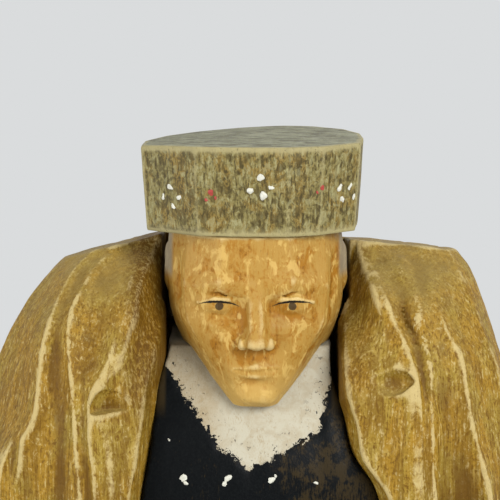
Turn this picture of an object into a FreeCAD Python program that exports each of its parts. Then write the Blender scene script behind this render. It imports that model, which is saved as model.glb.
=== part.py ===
"""A carved and painted wooden figurine: a standing figure in a flat-topped cap, with an open coat over the
shoulders, on a plinth.

Every block is carved apart and the blocks are glued together on dowels. Sizes are in millimetres, +Z is up,
the figure faces -Y, and the origin is the centre of the plinth's underside. "left" and "right" in the names
are the left and right of someone who looks at the figure's front, so "right" is +X.
"""

import FreeCAD
import Part

import math
import os

Vector = FreeCAD.Vector

# ---- heights, stacked up from the table ----
PLINTH_HEIGHT = 12.0
BOOT_HEIGHT = 32.0
TROUSER_HEIGHT = 54.0
TORSO_HEIGHT = 59.5
CHIN_DROP = 7.5           # the chin hangs this far below the neck's seat
HEAD_HEIGHT = 24.2        # chin to the flat that the cap sits on
HAT_HEIGHT = 12.6
HEM_LIFT = 2.0            # the coat's hem is this far above the boot tops
COLLAR_TO_HAT = 1.7       # the shoulders stop this far below the cap

# ---- plinth ----
PLINTH_WIDTH = 86.0
PLINTH_DEPTH = 62.0
PLINTH_CORNER = 13.0
PLINTH_CHAMFER = 1.8

# ---- coat ----
COAT_HALF_WIDTH = 41.0
COAT_HALF_DEPTH = 22.5
GLUE_PLANE_Y = 8.0        # the back slab is glued to the sides and the torso here
FLUTE_DEPTH = 1.1         # how far a gouge sinks between two ridges of the coat
FLUTED_AFTER = (2, 5, 6)  # the corners that a flute follows: the fold, the back of the sleeve, the back fold
LAPEL_TIP = (0.47, -0.75, 18.2)      # shares of the half width and depth, and the drop below the shoulders
LAPEL_GOUGE_RADIUS = 3.4
LEFT_SLOPE_POINT = (-0.63, 0.0, 2.2)     # one long cut slopes the left shoulder more; given as LAPEL_TIP is
LEFT_SLOPE_FACES = (-0.62, -0.10, 0.78)

# ---- the opening down the coat's front, which the torso and the trousers fill ----
OPENING_HEM = 15.5
OPENING_WAIST = 18.0
OPENING_CHEST = 18.5
OPENING_SHOULDER = 17.5
OPENING_NECK = 13.4
CHEST_DROP = 50.5         # the opening is widest this far below the shoulders
NECK_SLOPE_LOW = 20.0     # it narrows between these two drops
NECK_SLOPE_HIGH = 30.0
POCKET_CLEARANCE = 0.8    # between the head and the coat's collar
POCKET_CORNER = 4.0

# ---- torso ----
CHEST_Y = -12.5
BELLY_Y = -15.0
BELLY_SHARE = 0.35        # the belly stands out most at this share of the way up to the shirt's point
BELT_SETBACK = 1.0        # the waist lies this far behind the belly
COLLAR_Y = -6.0
SHIRT_DEPTH = 0.6         # the shirt front lies this far behind the waistcoat
SHIRT_HALF_WIDTH = 12.0
SHIRT_POINT_DROP = 14.0   # the point of the shirt, below the neck's seat
SHIRT_SHOULDER_DROP = 8.5

# ---- trousers and boots ----
TROUSER_FRONT_Y = -11.5
TROUSER_EDGE = 3.2        # the width of the cut down each leg's outer edge
TROUSER_EDGE_FACES = (0.75, -0.66)
TROUSER_CREASE = 3.0      # each leg's front falls away from here towards the gap
TROUSER_CREASE_FACES = (-0.5, -0.87)
TROUSER_HIP = 6.0         # the hips' plain block starts this far above the gap
LEG_GAP = 2.6
LEG_GAP_HEIGHT = 38.0
STANCE = 8.6              # half the distance between the legs' centres
BOOT_LENGTH = 28.0
BOOT_WIDTH = 13.4
BOOT_HEEL = 1.8           # the heel stands this far behind the shaft
BOOT_CUFF = 2.5
SHAFT_RADIUS = 6.3
CUFF_FLARE = 0.5
ANKLE_HEIGHT = 13.5
ANKLE_SHARE = 0.93        # of the shaft's radius
ANKLE_REACH = 1.2         # the ankle's front stands this far before the shaft's
# The foot's levels: (height, share of the half width, front behind the toe, back in front of the heel).
FOOT_LEVELS = [(0.0, 0.96, 0.0, 0.0), (3.0, 1.0, -0.6, 0.0), (6.5, 0.97, 0.8, 0.4), (10.0, 0.92, 6.5, 1.2)]
# Half of a level's outline: (share of its half width, share of its length behind its front).
BOOT_OUTLINE = [(0.5, 0.0), (1.0, 0.22), (0.94, 0.72), (0.5, 1.0)]

# ---- head ----
HEAD_X = 0.7
HEAD_HALF_WIDTH = 12.6
HEAD_FRONT_Y = -13.4
HEAD_BACK_Y = 11.6
BROW_SHARE = 0.80         # heights on the face, as shares of the head's height above the chin
EYE_SHARE = 0.67
NOSE_SHARE = 0.40
MOUTH_SHARE = 0.27
# Knife cuts on the head: (point, the way that it faces). A point is (share of the half width, share of the
# depth from the front, share of the height). The first table's cuts are made on both sides.
HEAD_SIDE_CUTS = [
    ((1.00, 0.328, 0.00), (0.80, -0.60, 0.00)),      # temple to cheek
    ((0.508, 0.00, 0.00), (0.42, -0.91, 0.00)),      # cheek to front
    ((1.00, 0.716, 0.00), (0.72, 0.69, 0.00)),       # back corners
    ((1.00, 0.50, 0.56), (0.93, 0.00, -0.37)),       # jaw
    ((0.817, 0.536, 0.27), (0.74, -0.10, -0.67)),    # jaw to chin
    ((1.00, 0.536, 0.75), (0.995, 0.00, 0.10)),      # temple, drawn in under the cap
]
HEAD_MIDDLE_CUTS = [
    ((0.00, 0.00, 0.80), (0.00, -0.995, 0.10)),      # forehead
    ((0.00, 0.008, 0.10), (0.00, -0.94, -0.34)),     # chin, under the lip
    ((0.00, 0.16, 0.00), (0.00, -0.60, -0.80)),      # under the jaw
]
# Wedges of the face, on the right: at each x, a triangle of (distance behind the front, height above a line).
SOCKET = [(2.0, [(-3.0, 3.6), (2.0, 1.2), (-1.5, -9.0)]),
          (10.4, [(-0.5, 4.0), (5.6, 1.2), (1.6, -8.0)])]
MOUTH = [(-3.9, [(-1.0, 0.5), (-1.0, -0.5), (1.6, 0.0)]),
         (3.9, [(-1.0, 0.5), (-1.0, -0.5), (1.6, 0.0)])]
NOSE_REACH = 3.0
NOSE_ROOT_BEHIND = 2.0
NOSE_BRIDGE_BEHIND = 0.2
NOSE_TIP_LIFT = 0.5
NOSE_FOOT_WIDTHS = (2.9, 1.2)      # half widths at the face and at the tip
NOSE_TOP_WIDTHS = (1.8, 0.9)
NOSE_TOP_DROP = 1.2
EAR_ROOT = 2.0            # the ear starts this far inside the head's side
# The ear's outlines: share of the head's height, then (beyond the side, y) at its outer front and outer back.
EAR_LEVELS = [(0.60, (-0.2, -3.6), (-0.2, -2.0)), (0.92, (0.4, -4.6), (0.6, -0.6))]

# ---- cap ----
HAT_X = 0.2               # the cap sits a little to the left of the head's middle
HAT_HALF_WIDTH = 15.8
HAT_HALF_DEPTH = 14.6
HAT_TAPER = 1.3           # the cap is this much narrower all round at its foot
HAT_BEVEL = 0.6
HAT_FACETS = 18
HAT_SQUARENESS = 2.7      # 2 is an ellipse, more is squarer
HAT_TILT = 0.02           # the top rises by this share towards the back

# ---- forearms and hands ----
FOREARM_RADIUS = 5.2
WRIST_RADIUS = 4.4
ELBOW = (OPENING_WAIST + 4.0, BELLY_Y + 7.0, 23.0)    # x, y and height above the waist
WRIST = (8.6, BELLY_Y - 5.0, 13.5)
HAND_THICKNESS = 6.2
HAND_HEIGHT = 8.6
HAND_LENGTH = 12.0
# The hand's sections, as shares of its length, height and thickness.
HAND_SECTIONS = [(0.0, 0.78, 0.80), (0.35, 1.0, 1.0), (0.75, 0.96, 0.86), (1.0, 0.72, 0.5)]
HAND_FORWARD = -0.12
HAND_FALL = {1: -0.30, -1: -0.16}
CORNER_SHARE = 0.6        # where the corners of an eight-sided section are cut

# ---- dowels: radii, and how far each reaches below and above its joint ----
DOWEL_CLEARANCE = 0.05
DOWEL_END_GAP = 0.4
HAT_DOWEL_RADIUS = 2.5
HAT_DOWEL_REACH = (6.5, 7.5)
NECK_DOWEL_RADIUS = 3.0
NECK_DOWEL_REACH = (9.0, 7.5)
NECK_DOWEL_Y = 1.5
WAIST_DOWEL_RADIUS = 3.0
WAIST_DOWEL_REACH = (9.0, 9.0)
WAIST_DOWEL_Y = -1.0
LEG_DOWEL_RADIUS = 2.0
LEG_DOWEL_REACH = (8.0, 8.0)
ARM_DOWEL_RADIUS = 1.5
ARM_DOWEL_REACH = (3.5, 9.5)
WRIST_DOWEL_RADIUS = 1.0
WRIST_DOWEL_REACH = (4.0, 3.0)
COAT_DOWEL_RADIUS = 2.0
COAT_DOWEL_BITE = 6.0     # into the wood on each side of the glue face
COAT_DOWEL_DROPS = (26.0, 36.0)      # below the waist, and below the shoulders
TORSO_DOWEL_PLACES = (20.0, 18.0)    # above the waist, and below the neck's seat

# ---- screws ----
SCREW_RADIUS = 1.5
SCREW_HEAD_RADIUS = 3.0
SCREW_HEAD_HEIGHT = 1.8
SCREW_RECESS = 0.6
SCREW_LENGTH = 22.0
SCREW_POINT = 4.0
SCREW_TIP_RADIUS = 0.2
SCREW_SLOT_WIDTH = 0.8
SCREW_SLOT_DEPTH = 0.7

# ---- levels worked out from the heights ----
BOOT_TOP = PLINTH_HEIGHT + BOOT_HEIGHT
HEM_Z = BOOT_TOP + HEM_LIFT
WAIST_Z = BOOT_TOP + TROUSER_HEIGHT
NECK_SEAT_Z = WAIST_Z + TORSO_HEIGHT
CHIN_Z = NECK_SEAT_Z - CHIN_DROP
HEAD_TOP_Z = CHIN_Z + HEAD_HEIGHT
HAT_TOP_Z = HEAD_TOP_Z + HAT_HEIGHT
SHOULDER_Z = HEAD_TOP_Z - COLLAR_TO_HAT
FAR = 300.0               # beyond every face of the figure

# The coat's outline, as half sections from the front edge round to the middle of the back. Each section is
# (height, points); a point is (share of the coat's half width, share of its half depth).
# The corners are: front edge, lapel, fold, sleeve, side, back of the sleeve, back fold, back.
COAT_SECTIONS = [
    (HEM_Z, [(0.29, -0.64), (0.50, -0.69), (0.59, -0.62), (0.73, -0.51),
             (0.88, -0.04), (0.80, 0.49), (0.51, 0.82), (0.17, 0.91)]),
    (0.5 * (HEM_Z + WAIST_Z), [(0.29, -0.67), (0.52, -0.71), (0.61, -0.67), (0.77, -0.56),
                               (0.93, -0.04), (0.85, 0.51), (0.54, 0.87), (0.17, 0.96)]),
    (WAIST_Z, [(0.29, -0.69), (0.57, -0.76), (0.63, -0.73), (0.80, -0.62),
               (0.98, -0.04), (0.89, 0.53), (0.55, 0.91), (0.18, 1.00)]),
    (SHOULDER_Z - CHEST_DROP, [(0.29, -0.71), (0.60, -0.78), (0.66, -0.76), (0.83, -0.62),
                               (1.00, -0.02), (0.90, 0.56), (0.56, 0.93), (0.18, 1.00)]),
    (SHOULDER_Z - 34.5, [(0.29, -0.67), (0.56, -0.76), (0.62, -0.72), (0.79, -0.58),
                         (0.98, 0.00), (0.88, 0.56), (0.55, 0.91), (0.18, 0.98)]),
    (SHOULDER_Z - 24.5, [(0.29, -0.58), (0.54, -0.71), (0.61, -0.67), (0.76, -0.51),
                         (0.93, 0.02), (0.83, 0.56), (0.52, 0.89), (0.17, 0.96)]),
    (SHOULDER_Z - 18.5, [(0.29, -0.51), (0.54, -0.69), (0.60, -0.62), (0.73, -0.47),
                         (0.90, 0.04), (0.79, 0.56), (0.50, 0.84), (0.17, 0.91)]),
    (SHOULDER_Z - 12.5, [(0.29, -0.40), (0.48, -0.53), (0.595, -0.51), (0.68, -0.40),
                         (0.85, 0.07), (0.76, 0.56), (0.48, 0.82), (0.16, 0.89)]),
    (SHOULDER_Z - 6.5, [(0.29, -0.24), (0.42, -0.38), (0.53, -0.38), (0.65, -0.29),
                        (0.79, 0.09), (0.70, 0.53), (0.44, 0.78), (0.16, 0.84)]),
    (SHOULDER_Z - 2.0, [(0.29, -0.13), (0.38, -0.24), (0.495, -0.22), (0.62, -0.13),
                        (0.72, 0.13), (0.63, 0.49), (0.415, 0.71), (0.15, 0.78)]),
    (SHOULDER_Z, [(0.29, 0.04), (0.35, 0.00), (0.45, 0.02), (0.56, 0.07),
                  (0.63, 0.18), (0.57, 0.42), (0.38, 0.60), (0.13, 0.64)]),
]


# ---- ways of making a carved block ----

def polygon_face(points):
    """A flat face from its corners."""
    return Part.Face(Part.makePolygon([*points, points[0]]))


def solid_from_rings(rings):
    """A faceted block through rings of corners, each ring with as many corners as the next."""
    faces = [polygon_face(rings[0]), polygon_face(rings[-1])]
    count = len(rings[0])
    for low, high in zip(rings, rings[1:]):
        for i in range(count):
            j = (i + 1) % count
            faces.append(polygon_face([low[i], low[j], high[j]]))
            faces.append(polygon_face([low[i], high[j], high[i]]))
    solid = Part.Solid(Part.makeShell(faces))
    if solid.Volume < 0:
        solid.reverse()
    return solid


def block(x_low, x_high, y_low, y_high, z_low, z_high):
    """A plain block between two corners."""
    return Part.makeBox(x_high - x_low, y_high - y_low, z_high - z_low, Vector(x_low, y_low, z_low))


def beyond(point, normal):
    """The waste on the far side of a knife cut through point, which faces along normal."""
    waste = Part.makeBox(2 * FAR, 2 * FAR, FAR, Vector(-FAR, -FAR, 0))
    turn = FreeCAD.Rotation(Vector(0, 0, 1), Vector(*normal))
    waste.Placement = FreeCAD.Placement(Vector(*point), turn)
    return waste


def pare(solid, cuts):
    """Knife cuts, one after another: each is (point, normal)."""
    for point, normal in cuts:
        solid = solid.cut(beyond(point, normal))
    return solid


def largest(shape):
    """The main solid of a shape, without the chips that a cut may leave."""
    return max(shape.Solids, key=lambda s: s.Volume)


def octagon(wide, high):
    """The corners of an oblong section with its corners cut."""
    w, h = CORNER_SHARE * wide, CORNER_SHARE * high
    return [(wide, -h), (w, -high), (-w, -high), (-wide, -h), (-wide, h), (-w, high), (w, high), (wide, h)]


def both_sides(x, y, z):
    """A point and its mirror image across the figure's middle."""
    return [(x, y, z), (-x, y, z)]


# ---- dowels: each is (start, end, radius) ----

def dowel(start, end, radius):
    """A dowel between two points."""
    way = end - start
    return Part.makeCylinder(radius, way.Length, start, way)


def dowel_hole(start, end, radius):
    """The hole for a dowel, a little wider and longer than it."""
    reach = (end - start).normalize() * DOWEL_END_GAP
    return dowel(start - reach, end + reach, radius + DOWEL_CLEARANCE)


def upright(x, y, z, reach, radius):
    """A dowel that stands across a level joint at height z."""
    below, above = reach
    return (Vector(x, y, z - below), Vector(x, y, z + above), radius)


def hat_dowels():
    return [upright(HEAD_X, 0.0, HEAD_TOP_Z, HAT_DOWEL_REACH, HAT_DOWEL_RADIUS)]


def neck_dowels():
    return [upright(HEAD_X, NECK_DOWEL_Y, NECK_SEAT_Z, NECK_DOWEL_REACH, NECK_DOWEL_RADIUS)]


def waist_dowels():
    return [upright(0.0, WAIST_DOWEL_Y, WAIST_Z, WAIST_DOWEL_REACH, WAIST_DOWEL_RADIUS)]


def leg_dowels():
    places = both_sides(STANCE, 0.0, BOOT_TOP)
    return [upright(*place, LEG_DOWEL_REACH, LEG_DOWEL_RADIUS) for place in places]


def coat_dowels():
    """Two dowels up each side and two behind the torso, all through the back slab's glue face."""
    fold_x = COAT_SECTIONS[3][1][2][0] * COAT_HALF_WIDTH
    side_x = 0.5 * (OPENING_CHEST + fold_x)
    low, high = COAT_DOWEL_DROPS
    places = [(x, z) for z in (WAIST_Z - low, SHOULDER_Z - high) for x in (side_x, -side_x)]
    low, high = TORSO_DOWEL_PLACES
    places += [(0.0, WAIST_Z + low), (0.0, NECK_SEAT_Z - high)]
    front_y, back_y = GLUE_PLANE_Y - COAT_DOWEL_BITE, GLUE_PLANE_Y + COAT_DOWEL_BITE
    return [(Vector(x, front_y, z), Vector(x, back_y, z), COAT_DOWEL_RADIUS) for x, z in places]


def arm_points(side):
    """Where a forearm starts and ends: side is 1 for right and -1 for left."""
    return [Vector(side * x, y, WAIST_Z + rise) for x, y, rise in (ELBOW, WRIST)]


def along_arm(side, end, reach, radius):
    """A dowel along a forearm, across its elbow (end 0) or its wrist (end 1)."""
    points = arm_points(side)
    way = (points[1] - points[0]).normalize()
    before, after = reach
    return (points[end] - way * before, points[end] + way * after, radius)


def arm_dowels():
    """A dowel from each forearm's root through the torso's edge into the coat."""
    return [along_arm(side, 0, ARM_DOWEL_REACH, ARM_DOWEL_RADIUS) for side in (1, -1)]


def wrist_dowels():
    """A thin dowel from each forearm's end into its hand."""
    return [along_arm(side, 1, WRIST_DOWEL_REACH, WRIST_DOWEL_RADIUS) for side in (1, -1)]


def drill(solid, *groups):
    """Bores a block for every dowel of some groups."""
    for group in groups:
        for start, end, radius in group:
            solid = solid.cut(dowel_hole(start, end, radius))
    return solid


def dowel_set(group):
    """The dowels of one group, as separate solids."""
    return Part.makeCompound([dowel(start, end, radius) for start, end, radius in group])


# ---- the coat ----

def fluted(corners):
    """A half section with a hollow between some of its ridges, at the middle of the stretch between them."""
    found = []
    for k, corner in enumerate(corners):
        found.append(corner)
        if k in FLUTED_AFTER:
            across = corners[k + 1] - corner
            inward = Vector(-across.y, across.x, 0).normalize()
            found.append(corner + across * 0.5 + inward * FLUTE_DEPTH)
    return found


def coat_point(x_share, y_share, drop):
    """A point on the coat, by shares of its half width and depth and the drop below the shoulders."""
    return (x_share * COAT_HALF_WIDTH, y_share * COAT_HALF_DEPTH, SHOULDER_Z - drop)


def coat_block():
    """The coat's outer shape, before the opening is cut in it."""
    rings = []
    for z, half in COAT_SECTIONS:
        right = fluted([Vector(COAT_HALF_WIDTH * x, COAT_HALF_DEPTH * y, z) for x, y in half])
        left = [Vector(-p.x, p.y, p.z) for p in reversed(right)]
        rings.append(right + left)
    solid = pare(solid_from_rings(rings), [(coat_point(*LEFT_SLOPE_POINT), LEFT_SLOPE_FACES)])
    for place in both_sides(*coat_point(*LAPEL_TIP)):
        solid = solid.cut(Part.makeSphere(LAPEL_GOUGE_RADIUS, Vector(*place)))
    return largest(solid)


def opening():
    """The space down the coat's front, from below the boots' tops to the neck's seat."""
    widths = [
        (0.0, OPENING_HEM), (HEM_Z, OPENING_HEM), (WAIST_Z, OPENING_WAIST),
        (SHOULDER_Z - CHEST_DROP, OPENING_CHEST), (SHOULDER_Z - NECK_SLOPE_HIGH, OPENING_SHOULDER),
        (SHOULDER_Z - NECK_SLOPE_LOW, OPENING_NECK), (NECK_SEAT_Z, OPENING_NECK),
    ]
    rings = []
    for z, w in widths:
        rings.append([Vector(-w, -FAR, z), Vector(w, -FAR, z),
                      Vector(w, GLUE_PLANE_Y, z), Vector(-w, GLUE_PLANE_Y, z)])
    return solid_from_rings(rings)


def head_pocket():
    """The space inside the collar, all round the head, open in front and above."""
    x = HEAD_HALF_WIDTH + POCKET_CLEARANCE
    y = HEAD_BACK_Y + POCKET_CLEARANCE
    c = POCKET_CORNER
    plan = [(-x, -FAR), (x, -FAR), (x, y - c), (x - c, y), (c - x, y), (-x, y - c)]
    rings = [[Vector(HEAD_X + px, py, z) for px, py in plan] for z in (NECK_SEAT_Z, HAT_TOP_Z)]
    return solid_from_rings(rings)


def coat_parts():
    """The back slab and the two sides, cut from one outline."""
    whole = coat_block().cut(opening()).cut(head_pocket())
    back = whole.common(block(-FAR, FAR, GLUE_PLANE_Y, FAR, 0, FAR))
    right = whole.common(block(0, FAR, -FAR, GLUE_PLANE_Y, 0, FAR))
    left = whole.common(block(-FAR, 0, -FAR, GLUE_PLANE_Y, 0, FAR))
    return largest(back), largest(right), largest(left)


# ---- the body ----

def shirt_recess(chest_z):
    """The waste in front of the shirt, down to its point at chest_z."""
    shoulder_z = NECK_SEAT_Z - SHIRT_SHOULDER_DROP
    top = NECK_SEAT_Z + SHIRT_SHOULDER_DROP
    outline = [(0.0, chest_z), (SHIRT_HALF_WIDTH, shoulder_z), (SHIRT_HALF_WIDTH, top),
               (-SHIRT_HALF_WIDTH, top), (-SHIRT_HALF_WIDTH, shoulder_z)]
    back_per_rise = (COLLAR_Y - CHEST_Y) / (NECK_SEAT_Z - chest_z)
    near = [Vector(x, CHEST_Y + SHIRT_DEPTH + (z - chest_z) * back_per_rise, z) for x, z in outline]
    far = [p - Vector(0, FAR, 0) for p in near]
    return solid_from_rings([near, far])


def torso():
    """The chest, with the shirt front cut a little deeper than the waistcoat, up to the neck's seat."""
    chest_z = NECK_SEAT_Z - SHIRT_POINT_DROP
    belly_z = WAIST_Z + BELLY_SHARE * (chest_z - WAIST_Z)
    profile = [(GLUE_PLANE_Y, WAIST_Z), (GLUE_PLANE_Y, NECK_SEAT_Z), (COLLAR_Y, NECK_SEAT_Z),
               (CHEST_Y, chest_z), (BELLY_Y, belly_z), (BELLY_Y + BELT_SETBACK, WAIST_Z)]
    slab = polygon_face([Vector(-FAR, y, z) for y, z in profile]).extrude(Vector(2 * FAR, 0, 0))
    return largest(slab.common(opening()).cut(shirt_recess(chest_z)))


def trousers():
    """The hips and both legs, down to the boot tops."""
    solid = opening().common(block(-FAR, FAR, TROUSER_FRONT_Y, GLUE_PLANE_Y, BOOT_TOP, WAIST_Z))
    gap_top = BOOT_TOP + LEG_GAP_HEIGHT
    solid = solid.cut(block(-LEG_GAP / 2, LEG_GAP / 2, -FAR, FAR, 0, gap_top))
    legs = solid.common(block(-FAR, FAR, -FAR, FAR, BOOT_TOP, gap_top + TROUSER_HIP))
    pared = []
    for side in (1, -1):
        leg = legs.common(block(min(0, side * FAR), max(0, side * FAR), -FAR, FAR, 0, FAR))
        cuts = []
        for x, (face_x, face_y) in ((OPENING_HEM - TROUSER_EDGE, TROUSER_EDGE_FACES),
                                    (TROUSER_CREASE, TROUSER_CREASE_FACES)):
            cuts.append(((side * x, TROUSER_FRONT_Y, 0), (side * face_x, face_y, 0)))
        pared.append(pare(leg, cuts))
    return largest(solid.cut(legs).fuse(pared).removeSplitter())


def boot(side):
    """One boot: eight-cornered outlines that change from the foot's to the shaft's."""
    heel_y = SHAFT_RADIUS + BOOT_HEEL
    toe_y = heel_y - BOOT_LENGTH
    levels = [(z, share * BOOT_WIDTH / 2, toe_y + front, heel_y - back)
              for z, share, front, back in FOOT_LEVELS]
    shaft, cuff = SHAFT_RADIUS, SHAFT_RADIUS + CUFF_FLARE
    levels.append((ANKLE_HEIGHT, ANKLE_SHARE * shaft, -shaft - ANKLE_REACH, shaft))
    levels.append((BOOT_HEIGHT - BOOT_CUFF, shaft, -shaft, shaft))
    levels.append((BOOT_HEIGHT, cuff, -cuff, cuff))
    rings = []
    for rise, wide, front, back in levels:
        half = [(wide * x, front + (back - front) * y) for x, y in BOOT_OUTLINE]
        outline = half + [(-x, y) for x, y in reversed(half)]
        rings.append([Vector(side * STANCE + x, y, PLINTH_HEIGHT + rise) for x, y in outline])
    return solid_from_rings(rings)


# ---- the plinth and its screws ----

def screw_places():
    return both_sides(STANCE, 0.0, 0.0)


def screw_holes():
    """The pilot holes that the screws turn into, in the boots."""
    top = SCREW_RECESS + SCREW_LENGTH
    return [(Vector(x, y, 0), Vector(x, y, top), SCREW_RADIUS) for x, y, _ in screw_places()]


def screw_sink(x, y):
    """The recess and the cone that a screw's head sinks into."""
    head_radius, radius = SCREW_HEAD_RADIUS + DOWEL_CLEARANCE, SCREW_RADIUS + DOWEL_CLEARANCE
    recess = Part.makeCylinder(head_radius, SCREW_RECESS, Vector(x, y, 0))
    cone = Part.makeCone(head_radius, radius, SCREW_HEAD_HEIGHT, Vector(x, y, SCREW_RECESS))
    return recess.fuse(cone)


def screws():
    """Two countersunk wood screws, from below through the plinth into the boots."""
    shank_z = SCREW_RECESS + SCREW_HEAD_HEIGHT
    point_z = SCREW_RECESS + SCREW_LENGTH - SCREW_POINT
    half_slot = SCREW_SLOT_WIDTH / 2
    found = []
    for x, y, _ in screw_places():
        head = Part.makeCone(SCREW_HEAD_RADIUS, SCREW_RADIUS, SCREW_HEAD_HEIGHT, Vector(x, y, SCREW_RECESS))
        shank = Part.makeCylinder(SCREW_RADIUS, point_z - shank_z, Vector(x, y, shank_z))
        tip = Part.makeCone(SCREW_RADIUS, SCREW_TIP_RADIUS, SCREW_POINT, Vector(x, y, point_z))
        slot = block(x - SCREW_HEAD_RADIUS, x + SCREW_HEAD_RADIUS, y - half_slot, y + half_slot,
                     SCREW_RECESS, SCREW_RECESS + SCREW_SLOT_DEPTH)
        found.append(largest(head.fuse([shank, tip]).cut(slot)))
    return Part.makeCompound(found)


def plinth_ring(inset, z):
    """The plinth's oblong outline with cut corners, drawn in by inset."""
    x, y = PLINTH_WIDTH / 2, PLINTH_DEPTH / 2
    a, b = x - inset, y - inset
    right = [(a - PLINTH_CORNER, -b), (a, PLINTH_CORNER - b), (a, b - PLINTH_CORNER), (a - PLINTH_CORNER, b)]
    return [Vector(px, py, z) for px, py in right + [(-px, py) for px, py in reversed(right)]]


def plinth():
    """An oblong plinth with a chamfered top edge, countersunk below for its screws."""
    chamfer_z = PLINTH_HEIGHT - PLINTH_CHAMFER
    rings = [plinth_ring(0, 0), plinth_ring(0, chamfer_z), plinth_ring(PLINTH_CHAMFER, PLINTH_HEIGHT)]
    solid = solid_from_rings(rings)
    for x, y, _ in screw_places():
        bore = Part.makeCylinder(SCREW_RADIUS + DOWEL_CLEARANCE, PLINTH_HEIGHT, Vector(x, y, 0))
        solid = solid.cut(bore).cut(screw_sink(x, y))
    return solid


# ---- forearms and hands ----

def trimmed(solid, neighbours):
    """A block cut back to sit against the blocks that are already in place."""
    for other in neighbours:
        solid = solid.cut(other)
    return largest(solid)


def forearm(side, neighbours):
    """A forearm that tapers to the wrist, pared to sit against the torso and the coat."""
    elbow, wrist = arm_points(side)
    way = (wrist - elbow).normalize()
    across = way.cross(Vector(0, 0, 1)).normalize()
    up = across.cross(way)
    corners = [math.radians(22.5 + 45.0 * k) for k in range(8)]
    rings = []
    for centre, radius in ((elbow, FOREARM_RADIUS), (wrist, WRIST_RADIUS)):
        rings.append([centre + across * (radius * math.cos(a)) + up * (radius * math.sin(a))
                      for a in corners])
    return trimmed(solid_from_rings(rings), neighbours)


def hand(side, neighbours):
    """A hand laid across the belly from the wrist, its knuckles pared."""
    elbow, wrist = arm_points(side)
    way = wrist - elbow
    across = Vector(way.x, way.y, 0).normalize().cross(Vector(0, 0, 1)).normalize()
    flat = Vector(-side, HAND_FORWARD, HAND_FALL[side]).normalize()
    up = flat.cross(across).normalize() * (-side)
    out = flat.cross(up).normalize() * side
    rings = []
    for share, high, thick in HAND_SECTIONS:
        centre = wrist + flat * (HAND_LENGTH * share)
        outline = octagon(high * HAND_HEIGHT / 2, thick * HAND_THICKNESS / 2)
        rings.append([centre + up * a + out * b for a, b in outline])
    return trimmed(solid_from_rings(rings), neighbours)


# ---- the head and the cap: the head is built with its chin at z 0 and moved into place ----

def head_cuts():
    """The head's knife cuts, with the side cuts made on both sides."""
    depth = HEAD_BACK_Y - HEAD_FRONT_Y
    sided = [((side * x, y, z), (side * nx, ny, nz))
             for (x, y, z), (nx, ny, nz) in HEAD_SIDE_CUTS for side in (1, -1)]
    return [((HEAD_HALF_WIDTH * x, HEAD_FRONT_Y + depth * y, HEAD_HEIGHT * z), normal)
            for (x, y, z), normal in sided + HEAD_MIDDLE_CUTS]


def face_wedge(ends, line_z, side=1):
    """A wedge across the face between two triangles, set from the head's front and from a level line."""
    rings = [[Vector(side * x, HEAD_FRONT_Y + y, line_z + z) for y, z in corners] for x, corners in ends]
    return solid_from_rings(rings)


def nose():
    """A wedge from the brow down to the tip of the nose."""
    root_y, tip_y = HEAD_FRONT_Y + NOSE_ROOT_BEHIND, HEAD_FRONT_Y - NOSE_REACH
    foot_z, top_z = HEAD_HEIGHT * NOSE_SHARE, HEAD_HEIGHT * BROW_SHARE - NOSE_TOP_DROP
    rings = []
    for (root, tip), front_y, root_z, tip_z in (
            (NOSE_FOOT_WIDTHS, tip_y, foot_z, foot_z + NOSE_TIP_LIFT),
            (NOSE_TOP_WIDTHS, HEAD_FRONT_Y + NOSE_BRIDGE_BEHIND, top_z, top_z)):
        rings.append([Vector(-root, root_y, root_z), Vector(-tip, front_y, tip_z),
                      Vector(tip, front_y, tip_z), Vector(root, root_y, root_z)])
    return solid_from_rings(rings)


def ear(side):
    """A small slanted ear under the cap."""
    inner = HEAD_HALF_WIDTH - EAR_ROOT
    rings = []
    for share, (front_out, front_y), (back_out, back_y) in EAR_LEVELS:
        corners = [(inner, front_y), (HEAD_HALF_WIDTH + front_out, front_y),
                   (HEAD_HALF_WIDTH + back_out, back_y), (inner, back_y)]
        rings.append([Vector(side * x, y, HEAD_HEIGHT * share) for x, y in corners])
    return solid_from_rings(rings)


def head():
    """The head: a block pared to flat planes, with sockets, a nose, a mouth, ears and a seat at the neck."""
    solid = block(-HEAD_HALF_WIDTH, HEAD_HALF_WIDTH, HEAD_FRONT_Y, HEAD_BACK_Y, 0, HEAD_HEIGHT)
    solid = pare(solid, head_cuts())
    solid = solid.cut(block(-FAR, FAR, COLLAR_Y - SHIRT_DEPTH, FAR, -FAR, CHIN_DROP))
    for side in (1, -1):
        solid = solid.cut(face_wedge(SOCKET, HEAD_HEIGHT * EYE_SHARE, side))
        solid = solid.fuse(ear(side))
    solid = solid.fuse(nose()).cut(face_wedge(MOUTH, HEAD_HEIGHT * MOUTH_SHARE))
    solid = largest(solid.removeSplitter())
    solid.translate(Vector(HEAD_X, 0, CHIN_Z))
    return solid


def hat_ring(inset, z, tilt):
    """One outline of the cap, squarer than an ellipse, with z rising by tilt for each millimetre back."""
    half_width, half_depth = HAT_HALF_WIDTH - inset, HAT_HALF_DEPTH - inset
    ring = []
    for k in range(HAT_FACETS):
        angle = 2 * math.pi * (k + 0.5) / HAT_FACETS
        c, s = math.cos(angle), math.sin(angle)
        reach = (abs(c) ** HAT_SQUARENESS + abs(s) ** HAT_SQUARENESS) ** (-1 / HAT_SQUARENESS)
        x, y = half_width * reach * c, half_depth * reach * s
        ring.append(Vector(HAT_X + x, y, z + tilt * y))
    return ring


def hat():
    """The cap: a faceted drum that widens upwards, with a bevelled top edge."""
    foot = hat_ring(HAT_TAPER, HEAD_TOP_Z, 0)
    brim = hat_ring(0, HAT_TOP_Z - HAT_BEVEL, HAT_TILT)
    crown = hat_ring(HAT_BEVEL, HAT_TOP_Z, HAT_TILT)
    return solid_from_rings([foot, brim, crown])


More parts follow.
